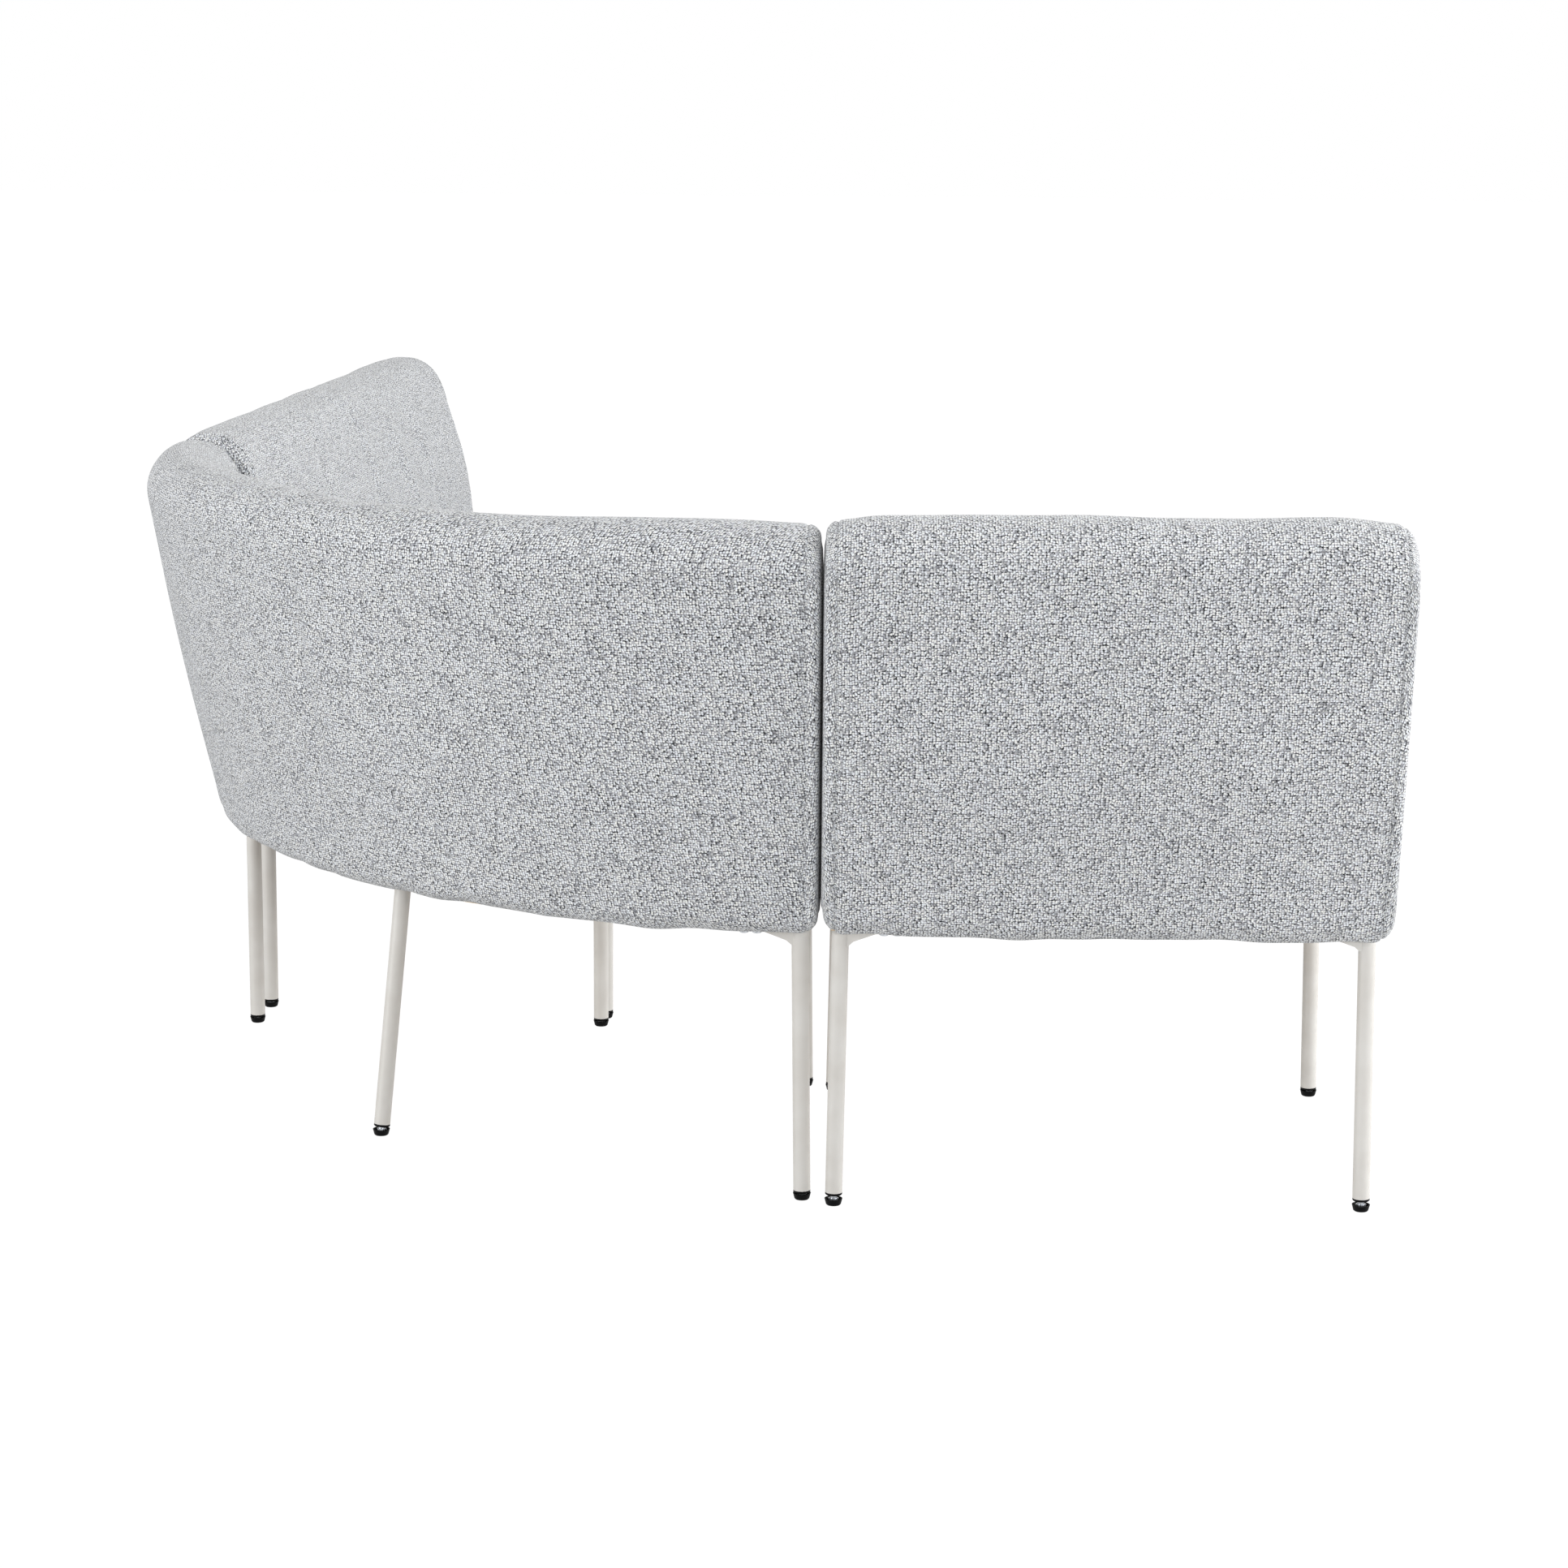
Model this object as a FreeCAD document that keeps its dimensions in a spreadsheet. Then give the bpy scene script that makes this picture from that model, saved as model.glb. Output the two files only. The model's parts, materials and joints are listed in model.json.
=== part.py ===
# Corner banquette bench: a quarter-round corner module between two straight modules.
# Each module is an upholstered seat and leaning back on round steel legs with screwed levelling glides.
import FreeCAD, Part
import math
import os
import Sketcher

from FreeCAD import Placement, Rotation, Vector

os.makedirs("parts", exist_ok=True)
doc = FreeCAD.newDocument("banquette_bench")
sheet = doc.addObject("Spreadsheet::Sheet", "sizes")

# Driving sizes, in millimetres and degrees
driving_sizes = {
    # Plan: a radius is also the distance of a straight module's piece from its front datum
    "right_width": 650,
    "right_step": 20,
    "left_width": 1350,
    "left_step": 2,
    "left_turn": 5,
    "end_gap": 1.75,
    # Heights of the upholstery above the floor, glides screwed in
    "hem_height": 323,
    "seat_height": 455,
    "back_height": 807,
    # Back pad
    "back_radius": 809,
    "back_lean": 11.5,
    "back_thickness": 110,
    "back_crown": 4,
    "back_top_round": 50,
    "back_hem_round": 26,
    "back_front_round": 14,
    "back_corner_round": 28,
    "back_edge_round": 13,
    # Seat pad: its crown and rounds are for a pad of this depth, and grow or shrink with the seat
    "seat_front_radius": 250,
    "seat_back_gap": 5,
    "seat_pad_depth": 132,
    "seat_crown": 8,
    "seat_front_crown": 4,
    "seat_top_round": 30,
    "seat_hem_round": 12,
    "seat_rear_round": 16,
    "seat_corner_round": 18,
    "seat_edge_round": 11,
    # Plywood board under the whole seat and back
    "hem_depth": 3,
    "board_thickness": 18,
    "board_end_inset": 12.5,
    "board_front_inset": 12,
    "board_rear_inset": 22,
    # Plywood core inside the back
    "rear_foam": 27,
    "core_thickness": 18,
    "core_end_inset": 15,
    "core_top_foam": 40,
    "foam_clearance": 0.3,
    # Steel angles that bolt the core to the board
    "angle_width": 60,
    "angle_thickness": 4,
    "angle_foot": 50,
    "angle_upright": 50,
    "angle_screw_spread": 36,
    "angle_foot_screw": 30,
    "angle_upright_screw": 34,
    "angle_end_inset": 145,
    "angle_turn": 30,
    "notch_clearance": 3,
    # Pan-head screws
    "screw_radius": 3,
    "screw_length": 16,
    "screw_head_radius": 6,
    "screw_head_height": 3.5,
    "screw_head_round": 1.2,
    "screw_socket_radius": 2,
    "screw_socket_depth": 2.2,
    "pilot_clearance": 0.05,
    "plate_hole_clearance": 0.4,
    # Leg tubes
    "tube_radius": 10,
    "tube_wall": 1.5,
    "leg_end_inset": 18.5,
    "rear_leg_inset": 11,
    "front_leg_inset": 40,
    "middle_leg_inset": 22.5,
    "side_lean": 0.85,
    "middle_lean": 7.3,
    "corner_bracket_turn": 6,
    # Leg brackets, measured from the tube's centre line at the board
    "plate_thickness": 4,
    "plate_width": 21,
    "plate_length": 74,
    "gusset_width": 14,
    "gusset_length": 43,
    "gusset_depth": 14,
    "gusset_chamfer": 5,
    "near_screw_reach": 50,
    "far_screw_reach": 65,
    "cut_overrun": 30,
    # Threaded plugs in the tube ends
    "plug_flange": 3.2,
    "plug_flange_round": 1,
    "plug_length": 14,
    "plug_clearance": 0.05,
    # Levelling glides
    "ball_height": 3.8,
    "ball_radius": 2.4,
    "socket_clearance": 0.08,
    "neck_radius": 1.8,
    "collar_base": 2,
    "collar_height": 2.2,
    "collar_across_corners": 12.7,
    "stud_radius": 4,
    "stud_length": 29,
    "stud_chamfer": 0.8,
    "thread_clearance": 0.08,
    "stop_gap": 0.2,
    "pad_height": 7.5,
    "pad_base_radius": 8.8,
    "pad_rim_radius": 10.5,
    "pad_rim_wall": 1.2,
    "pad_base_chamfer": 1,
    "pad_recess_floor": 4.6,
    # How far the glides are screwed out in the row as it stands
    "right_rear_glide_out": 4,
    "middle_glide_out": 2.5,
}
for row, (name, value) in enumerate(driving_sizes.items(), 1):
    sheet.set(f"A{row}", name)
    sheet.set(f"B{row}", str(value))
    sheet.setAlias(f"B{row}", name)
doc.recompute()


# A size from the sheet, and the value of an expression in its sizes
def size(name):
    return float(getattr(sheet, name))


def measure(expression):
    return float(sheet.evalExpression(expression))


full_turn = 360
quarter_turn = 90
hexagon_sides = 6
across_x = Vector(1, 0, 0)
across_y = Vector(0, 1, 0)
upward = Vector(0, 0, 1)


def move(x, y, z):
    return Placement(Vector(x, y, z), Rotation())


def turn(axis, degrees):
    return Placement(Vector(0, 0, 0), Rotation(axis, degrees))


# Heights and radii that several pieces share
board_front_radius = "(sizes.seat_front_radius + sizes.board_front_inset)"
board_rear_radius = "(sizes.back_radius - sizes.board_rear_inset)"
front_leg_radius = f"({board_front_radius} + sizes.front_leg_inset)"
rear_leg_radius = f"({board_rear_radius} - sizes.rear_leg_inset)"
middle_leg_radius = f"({board_rear_radius} - sizes.middle_leg_inset)"
board_underside = "(sizes.hem_height + sizes.hem_depth)"
board_top = f"({board_underside} + sizes.board_thickness)"
core_outer_radius = (
    f"(sizes.back_radius + ({board_top} - sizes.hem_height) * tan(sizes.back_lean)"
    " - sizes.rear_foam / cos(sizes.back_lean))"
)
core_inner_radius = f"({core_outer_radius} - sizes.core_thickness / cos(sizes.back_lean))"
core_height = f"(sizes.back_height - sizes.core_top_foam - {board_top})"
collar_top = "(sizes.collar_base + sizes.collar_height)"
plug_seat = f"({collar_top} + sizes.stop_gap)"
tube_end = f"({plug_seat} + sizes.plug_flange)"


# Helpers that build one kind of feature each
def plane_of(body, role):
    return next(f for f in body.Origin.OriginFeatures if f.Role == role)


def new_body(label):
    body = doc.addObject("PartDesign::Body", label)
    body.Label = label
    return body


def closed_sketch(body, name, role, points):
    sketch = body.newObject("Sketcher::SketchObject", name)
    sketch.AttachmentSupport = [(plane_of(body, role), "")]
    sketch.MapMode = "FlatFace"
    corners = [Vector(measure(across), measure(up), 0) for across, up in points]
    count = len(corners)
    for i in range(count):
        sketch.addGeometry(Part.LineSegment(corners[i], corners[(i + 1) % count]), False)
    for i in range(count):
        sketch.addConstraint(Sketcher.Constraint("Coincident", i, 2, (i + 1) % count, 1))
    for i, (across, up) in enumerate(points):
        for kind, axis, expression, value in (
            ("DistanceX", -2, across, corners[i].x),
            ("DistanceY", -1, up, corners[i].y),
        ):
            if expression == "0":
                sketch.addConstraint(Sketcher.Constraint("PointOnObject", i, 1, axis))
            else:
                index = sketch.addConstraint(Sketcher.Constraint(kind, -1, 1, i, 1, value))
                sketch.setExpression(f"Constraints[{index}]", expression)
    return sketch


def turned(body, name, points):
    sketch = closed_sketch(body, name + "_profile", "XZ_Plane", points)
    feature = body.newObject("PartDesign::Revolution", name)
    feature.Profile = sketch
    feature.ReferenceAxis = (sketch, ["V_Axis"])
    feature.Angle = full_turn
    return feature


def thickened(body, name, role, points, length):
    sketch = closed_sketch(body, name + "_outline", role, points)
    feature = body.newObject("PartDesign::Pad", name)
    feature.Profile = sketch
    feature.Midplane = True
    feature.setExpression("Length", length)
    return feature


def primitive(body, name, kind, offset, **sizes_of):
    feature = body.newObject("PartDesign::" + kind, name)
    feature.AttachmentSupport = [(plane_of(body, "XY_Plane"), "")]
    feature.MapMode = "FlatFace"
    feature.AttachmentOffset = offset
    for prop, expression in sizes_of.items():
        feature.setExpression(prop, expression)
    return feature


def part_object(kind, name, place, **sizes_of):
    item = doc.addObject("Part::" + kind, name)
    for prop, expression in sizes_of.items():
        item.setExpression(prop, expression)
    item.Placement = place
    return item


def compound(name, items):
    group = doc.addObject("Part::Compound", name)
    group.Links = items
    return group


def minus(name, base, tool):
    cut = doc.addObject("Part::Cut", name)
    cut.Base = base
    cut.Tool = tool
    return cut


def shape_of(name, shape):
    feature = doc.addObject("Part::Feature", name)
    feature.Shape = shape
    return feature


# Every piece that is kept: its object and its place in the row
kept = {}


def keep(label, item, place):
    item.Label = label
    kept[label] = (item, place)
    return item


# Legs
# A leg's frame stands upright at the centre of its glide's ball, +X towards the bracket's tip.
def leg_axis_turn(lean):
    return turn(across_y, size(lean))


def make_leg(label, lean, rise, place):
    body = new_body(label)
    lean_name = "sizes." + lean
    top = f"({board_underside} - {rise})"
    middle = f"({top} * tan({lean_name}))"
    plate_under = f"({top} - sizes.plate_thickness)"
    tilt = leg_axis_turn(lean)
    bottom = tilt * move(0, 0, measure(tube_end))
    primitive(
        body, "tube", "AdditiveCylinder", bottom,
        Radius="sizes.tube_radius",
        Height=f"{top} / cos({lean_name}) - {tube_end} + sizes.cut_overrun / 2",
    )
    thickened(
        body, "gusset", "XZ_Plane",
        [
            (middle, plate_under),
            (f"{middle} + sizes.gusset_length", plate_under),
            (f"{middle} + sizes.tube_radius + sizes.gusset_chamfer", f"{top} - sizes.gusset_depth"),
            (f"{middle} + sizes.tube_radius - sizes.tube_wall / 2",
             f"{top} - sizes.gusset_depth - sizes.gusset_chamfer"),
            (middle, f"{top} - sizes.gusset_depth - sizes.gusset_chamfer"),
        ],
        "sizes.gusset_width",
    )
    thickened(
        body, "plate", "XZ_Plane",
        [
            (f"{middle} - sizes.tube_radius", plate_under),
            (f"{middle} + sizes.plate_length", plate_under),
            (f"{middle} + sizes.plate_length", top),
            (f"{middle} - sizes.tube_radius", top),
        ],
        "sizes.plate_width",
    )
    overrun = size("cut_overrun")
    primitive(
        body, "trim", "SubtractiveBox",
        move(measure(middle) - overrun, -overrun, measure(top)),
        Length="2 * sizes.cut_overrun",
        Width="2 * sizes.cut_overrun",
        Height="sizes.cut_overrun",
    )
    primitive(
        body, "bore", "SubtractiveCylinder", bottom,
        Radius="sizes.tube_radius - sizes.tube_wall",
        Height=f"{plate_under} / cos({lean_name}) - {tube_end} - sizes.tube_radius * tan({lean_name})",
    )
    for reach in ("near_screw_reach", "far_screw_reach"):
        primitive(
            body, reach + "_hole", "SubtractiveCylinder",
            move(measure(middle) + size(reach), 0, measure(plate_under) - overrun / 2),
            Radius="sizes.screw_radius + sizes.plate_hole_clearance",
            Height="sizes.cut_overrun",
        )
    keep(label, body, place)


# Where a leg's plate screws start, under the plate, in the leg's frame
def leg_screw_places(lean, rise):
    top = measure(f"{board_underside} - {rise}")
    middle = top * math.tan(math.radians(size(lean)))
    under = top - size("plate_thickness")
    return [move(middle + size(reach), 0, under) for reach in ("near_screw_reach", "far_screw_reach")]


# Threaded plug in the tube's end: a flange under the tube and a shank inside it
def make_plug(name):
    body = new_body(name)
    hole = "sizes.stud_radius + sizes.thread_clearance"
    shank = "sizes.tube_radius - sizes.tube_wall - sizes.plug_clearance"
    turned(
        body, "plug",
        [
            (hole, "0"),
            ("sizes.tube_radius - sizes.plug_flange_round", "0"),
            ("sizes.tube_radius", "sizes.plug_flange_round"),
            ("sizes.tube_radius", "sizes.plug_flange"),
            (shank, "sizes.plug_flange"),
            (shank, "sizes.plug_flange + sizes.plug_length"),
            (hole, "sizes.plug_flange + sizes.plug_length"),
        ],
    )
    return body


# Glide stud: a ball, a hexagon collar and a threaded rod, from the ball's centre up
def make_stud(label, place):
    body = new_body(label)
    rod_top = f"({collar_top} + sizes.stud_length)"
    turned(
        body, "rod",
        [
            ("0", "0"),
            ("sizes.neck_radius", "0"),
            ("sizes.neck_radius", "sizes.collar_base + sizes.collar_height / 2"),
            ("sizes.stud_radius", "sizes.collar_base + sizes.collar_height / 2"),
            ("sizes.stud_radius", f"{rod_top} - sizes.stud_chamfer"),
            ("sizes.stud_radius - sizes.stud_chamfer", rod_top),
            ("0", rod_top),
        ],
    )
    collar = primitive(
        body, "collar", "AdditivePrism", move(0, 0, size("collar_base")),
        Circumradius="sizes.collar_across_corners / 2",
        Height="sizes.collar_height",
    )
    collar.Polygon = hexagon_sides
    primitive(body, "ball", "AdditiveSphere", move(0, 0, 0), Radius="sizes.ball_radius")
    keep(label, body, place)


# Glide pad: a shallow cup on the floor with a ball socket
def make_pad(label, place):
    body = new_body(label)
    turned(
        body, "cup",
        [
            ("0", "0"),
            ("sizes.pad_base_radius - sizes.pad_base_chamfer", "0"),
            ("sizes.pad_base_radius", "sizes.pad_base_chamfer"),
            ("sizes.pad_rim_radius", "sizes.pad_height"),
            ("sizes.pad_rim_radius - sizes.pad_rim_wall", "sizes.pad_height"),
            ("sizes.pad_rim_radius - 2 * sizes.pad_rim_wall", "sizes.pad_recess_floor"),
            ("0", "sizes.pad_recess_floor"),
        ],
    )
    primitive(
        body, "socket", "SubtractiveSphere", move(0, 0, size("ball_height")),
        Radius="sizes.ball_radius + sizes.socket_clearance",
    )
    keep(label, body, place)


# Screws
def make_screw():
    body = new_body("screw_pattern")
    turned(
        body, "screw",
        [
            ("0", "-sizes.screw_head_height"),
            ("sizes.screw_head_radius - sizes.screw_head_round", "-sizes.screw_head_height"),
            ("sizes.screw_head_radius", "-sizes.screw_head_height + sizes.screw_head_round"),
            ("sizes.screw_head_radius", "0"),
            ("sizes.screw_radius", "0"),
            ("sizes.screw_radius", "sizes.screw_length"),
            ("0", "sizes.screw_length"),
        ],
    )
    socket = primitive(
        body, "drive_socket", "SubtractivePrism", move(0, 0, -size("screw_head_height")),
        Circumradius="sizes.screw_socket_radius",
        Height="sizes.screw_socket_depth",
    )
    socket.Polygon = hexagon_sides
    return body


# Steel angle: its foot lies on the board and its upright on the leaning core.
# Its frame is at the core's front face on the board, +Y towards the front of the seat.
def make_angle(name):
    body = new_body(name)
    lean = "sizes.back_lean"
    thick = "sizes.angle_thickness"
    bend = f"({thick} * cos({lean}) - ({thick} - {thick} * sin({lean})) * tan({lean}))"
    thickened(
        body, "profile", "YZ_Plane",
        [
            ("0", "0"),
            ("sizes.angle_foot", "0"),
            ("sizes.angle_foot", thick),
            (bend, thick),
            (f"{thick} * cos({lean}) - sizes.angle_upright * sin({lean})",
             f"{thick} * sin({lean}) + sizes.angle_upright * cos({lean})"),
            (f"-sizes.angle_upright * sin({lean})", f"sizes.angle_upright * cos({lean})"),
        ],
        "sizes.angle_width",
    )
    for index, place in enumerate(angle_screw_places(), 1):
        primitive(
            body, f"screw_hole_{index}", "SubtractiveCylinder",
            place * move(0, 0, -size("cut_overrun") / 2),
            Radius="sizes.screw_radius + sizes.plate_hole_clearance",
            Height="sizes.cut_overrun",
        )
    return body


# Screws of one angle, in its frame: two down into the board and two into the core
def angle_screw_places():
    lean = size("back_lean")
    thick = size("angle_thickness")
    half = size("angle_screw_spread") / 2
    down = move(0, size("angle_foot_screw"), thick) * turn(across_x, 2 * quarter_turn)
    slope = turn(across_x, lean)
    into_core = slope * move(0, thick, size("angle_upright_screw")) * turn(across_x, quarter_turn)
    return [move(side, 0, 0) * place for side in (-half, half) for place in (down, into_core)]


# Upholstery
# A section is drawn with the distance from the front datum across and the height up.
# Its edges shrink by an inset all round and by a corner cut at the ends of the pad.
def place_section(point, turn_back):
    return turn_back.multVec(Vector(0, -point.x, point.y))


def arc_between(first, through, last, turn_back):
    points = [place_section(point, turn_back) for point in (first, through, last)]
    return Part.Arc(*points).toShape()


def line_between(first, last, turn_back):
    return Part.LineSegment(place_section(first, turn_back), place_section(last, turn_back)).toShape()


def unit(direction):
    return direction * (1 / direction.Length)


def around(centre, radius, direction):
    return centre + unit(direction) * radius


def back_section(inset, corner, fullness, turn_back):
    lean = math.radians(size("back_lean"))
    along = Vector(math.sin(lean), math.cos(lean), 0)
    out = Vector(math.cos(lean), -math.sin(lean), 0)
    down = Vector(0, -1, 0)
    datum = Vector(size("back_radius"), size("hem_height"), 0)
    hem_round = size("back_hem_round")
    top_round = size("back_top_round")
    front_round = size("back_front_round")
    inner_round = size("back_thickness") - 2 * inset - top_round
    low = size("hem_height") + corner
    high = size("back_height") - corner
    # Centres of the hem's, the top's and the front hem's rounds
    hem_depth = hem_round + inset
    hem_up = (low + hem_round - datum.y + out.y * hem_depth) / along.y
    hem_centre = datum + along * hem_up - out * hem_depth
    top_depth = top_round + inset
    top_up = (high - top_round - datum.y + out.y * top_depth) / along.y
    top_centre = datum + along * top_up - out * top_depth
    inner_centre = top_centre + along * (top_round - inner_round)
    front_depth = size("back_thickness") - inset - front_round
    front_up = (low + front_round - datum.y + out.y * front_depth) / along.y
    front_centre = datum + along * front_up - out * front_depth
    rear_low = around(hem_centre, hem_round, out)
    rear_high = around(top_centre, top_round, out)
    front_high = around(inner_centre, inner_round, -out)
    front_low = around(front_centre, front_round, -out)
    crown = size("back_crown") * fullness
    rear_middle = (rear_low + rear_high) * 0.5 + out * crown
    front_middle = (front_low + front_high) * 0.5 - out * crown
    apex = around(top_centre, top_round, along)
    return Part.Wire([
        line_between(around(front_centre, front_round, down),
                     around(hem_centre, hem_round, down), turn_back),
        arc_between(around(hem_centre, hem_round, down),
                    around(hem_centre, hem_round, down + out), rear_low, turn_back),
        arc_between(rear_low, rear_middle, rear_high, turn_back),
        arc_between(rear_high, around(top_centre, top_round, out + along),
                    apex, turn_back),
        arc_between(apex, around(inner_centre, inner_round, along - out),
                    front_high, turn_back),
        arc_between(front_high, front_middle, front_low, turn_back),
        arc_between(front_low, around(front_centre, front_round, down - out),
                    around(front_centre, front_round, down), turn_back),
    ])


def seat_size(name):
    return measure(f"(sizes.{name} * (sizes.seat_height - sizes.hem_height) / sizes.seat_pad_depth)")


def seat_section(inset, corner, fullness, turn_back):
    lean = math.radians(size("back_lean"))
    along = Vector(math.sin(lean), math.cos(lean), 0)
    out = Vector(math.cos(lean), -math.sin(lean), 0)
    down = Vector(0, -1, 0)
    up = Vector(0, 1, 0)
    front = Vector(-1, 0, 0)
    low = size("hem_height") + inset
    high = size("seat_height") - seat_size("seat_crown") - corner
    front_edge = size("seat_front_radius") + inset
    hem_round = seat_size("seat_hem_round")
    top_round = seat_size("seat_top_round")
    rear_round = seat_size("seat_rear_round")
    # The rear face follows the front face of the back
    rear_depth = size("back_thickness") + size("seat_back_gap")
    rear_foot = size("back_radius") + (low - size("hem_height")) * math.tan(lean)
    rear_foot -= rear_depth / math.cos(lean) + inset
    hem_centre = Vector(front_edge + hem_round, low + hem_round, 0)
    top_centre = Vector(front_edge + top_round, high - top_round, 0)
    rear_low = Vector(rear_foot, low, 0)
    rear_up = (high - rear_round - low + out.y * rear_round) / along.y
    rear_centre = rear_low + along * rear_up - out * rear_round
    rear_high = around(rear_centre, rear_round, out)
    top_rear = around(rear_centre, rear_round, up)
    top_front = around(top_centre, top_round, up)
    front_high = around(top_centre, top_round, front)
    front_low = around(hem_centre, hem_round, front)
    top_middle = (top_rear + top_front) * 0.5 + up * seat_size("seat_crown") * fullness
    front_middle = (front_high + front_low) * 0.5 + front * seat_size("seat_front_crown") * fullness
    return Part.Wire([
        line_between(rear_low, around(hem_centre, hem_round, down), turn_back),
        arc_between(around(hem_centre, hem_round, down),
                    around(hem_centre, hem_round, down + front), front_low, turn_back),
        arc_between(front_low, front_middle, front_high, turn_back),
        arc_between(front_high, around(top_centre, top_round, front + up),
                    top_front, turn_back),
        arc_between(top_front, top_middle, top_rear, turn_back),
        arc_between(top_rear, around(rear_centre, rear_round, up + out),
                    rear_high, turn_back),
        line_between(rear_high, rear_low, turn_back),
    ])


# Steps from a pad's end face to its full section: distance in, edge inset, corner cut and fullness
end_angle_shares = [0, 0.22, 0.45, 0.7, 1]
end_fullness_share = 0.2


def end_steps(corner_round, edge_round):
    steps = []
    for share in end_angle_shares:
        angle = math.radians(quarter_turn) * share
        distance = corner_round * (1 - math.cos(angle))
        corner = corner_round * (1 - math.sin(angle))
        short = max(edge_round - distance, 0)
        inset = edge_round - math.sqrt(edge_round ** 2 - short ** 2)
        fullness = end_fullness_share + (1 - end_fullness_share) * share
        steps.append((distance, inset, corner, fullness))
    return steps


# A straight pad's crown is fuller half way along it
middle_fullness_share = 1.7


# A cap of lofted sections for each end, each section put in its place by a function of its distance in
def end_caps(section, corner_round, edge_round, places):
    caps = []
    for place in places:
        wires = [
            section(inset, corner, fullness, place(distance))
            for distance, inset, corner, fullness in end_steps(corner_round, edge_round)
        ]
        caps.append(Part.makeLoft(wires, True, False))
    return caps


def straight_pad(section, corner_round, edge_round, width):
    half = width / 2 - size("end_gap")
    shoulder = half - corner_round
    middle = Part.makeLoft([
        section(0, 0, 1, move(-shoulder, 0, 0)),
        section(0, 0, middle_fullness_share, move(0, 0, 0)),
        section(0, 0, 1, move(shoulder, 0, 0)),
    ], True, False)
    places = [lambda distance: move(distance - half, 0, 0), lambda distance: move(half - distance, 0, 0)]
    return middle.fuse(end_caps(section, corner_round, edge_round, places))


def corner_pad(section, corner_round, edge_round, middle_radius):
    def degrees_in(distance):
        return math.degrees((size("end_gap") + distance) / middle_radius)

    first = degrees_in(corner_round)
    full = Part.Face(section(0, 0, 1, turn(upward, -first)))
    middle = full.revolve(Vector(0, 0, 0), upward, 2 * first - quarter_turn)
    places = [
        lambda distance: turn(upward, -degrees_in(distance)),
        lambda distance: turn(upward, degrees_in(distance) - quarter_turn),
    ]
    return middle.fuse(end_caps(section, corner_round, edge_round, places))


# Hollows in the upholstery: the board's bed, the core's slot and the notches round the angles
def straight_hollows(width):
    clear = size("foam_clearance")
    half = width / 2
    under = measure(board_underside) - size("cut_overrun")
    over = measure(board_top) + clear
    end = half - size("board_end_inset") + clear
    rear = measure(board_rear_radius) + clear
    front = measure(board_front_radius) - clear
    bed = Part.makeBox(2 * end, rear - front, over - under, Vector(-end, -rear, under))
    core_end = half - size("core_end_inset") + clear
    points = [Vector(-core_end, -radius, height) for radius, height in core_slot_corners()]
    slot = Part.Face(Part.makePolygon(points + points[:1])).extrude(Vector(2 * core_end, 0, 0))
    return bed, slot


def core_slot_corners():
    clear = size("foam_clearance")
    lean = math.radians(size("back_lean"))
    low = measure(board_top)
    high = low + measure(core_height) + clear
    outer = measure(core_outer_radius) + clear / math.cos(lean)
    inner = measure(core_inner_radius) - clear / math.cos(lean)
    rise = (high - low) * math.tan(lean)
    return [(inner, low), (outer, low), (outer + rise, high), (inner + rise, high)]


def corner_hollows():
    clear = size("foam_clearance")
    under = measure(board_underside) - size("cut_overrun")
    over = measure(board_top) + clear
    rear = measure(board_rear_radius) + clear
    front = measure(board_front_radius) - clear
    bed = ring_block([(front, under), (rear, under), (rear, over), (front, over)])
    slot = ring_block(core_slot_corners())
    return (
        bed.common(quadrant_box(size("board_end_inset") - clear)),
        slot.common(quadrant_box(size("core_end_inset") - clear)),
    )


# A quarter ring with the given section, and a block that trims its ends square
def ring_block(corners):
    points = [Vector(0, -radius, height) for radius, height in corners]
    face = Part.Face(Part.makePolygon(points + points[:1]))
    return face.revolve(Vector(0, 0, 0), upward, -quarter_turn)


def quadrant_box(inset):
    reach = size("back_radius") + size("back_height")
    return Part.makeBox(reach, reach, reach, Vector(-inset - reach, -inset - reach, 0))


def angle_notch(place):
    clear = size("notch_clearance")
    width = size("angle_width") + 2 * clear
    depth = size("angle_foot") + clear
    rise = size("angle_upright") + clear
    back = size("core_thickness") / 2 + rise * math.tan(math.radians(size("back_lean")))
    block = Part.makeBox(width, depth + back, rise, Vector(-width / 2, -back, 0))
    block.Placement = place
    return block


# Modules
screw_pattern = make_screw()
angle_pattern = make_angle("angle_pattern")
plug_pattern = make_plug("plug_pattern")
doc.recompute()

glides = []


# One leg with its plug and glide. The foot is the ball's centre with the glide screwed in.
def make_leg_set(label, module, foot, direction, lean, rise, out):
    upright = foot * turn(upward, direction)
    axis_frame = upright * leg_axis_turn(lean)
    make_leg(label + "_leg", lean, rise, module * upright)
    ball = module * axis_frame * move(0, 0, -out)
    make_stud(label + "_glide_stud", ball)
    centre = ball.Base
    make_pad(label + "_glide_pad", move(centre.x, centre.y, centre.z - size("ball_height")))
    axis = ball.Rotation.multVec(upward)
    glides.append((label, centre, axis, out))
    plug = axis_frame * move(0, 0, measure(plug_seat))
    screws = [upright * place for place in leg_screw_places(lean, rise)]
    return plug, screws


def grouped(label, pattern, places, module):
    copies = []
    for place in places:
        copy = pattern.Shape.copy()
        copy.Placement = place * copy.Placement
        copies.append(copy)
    keep(label, shape_of(label, Part.makeCompound(copies)), module)


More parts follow.
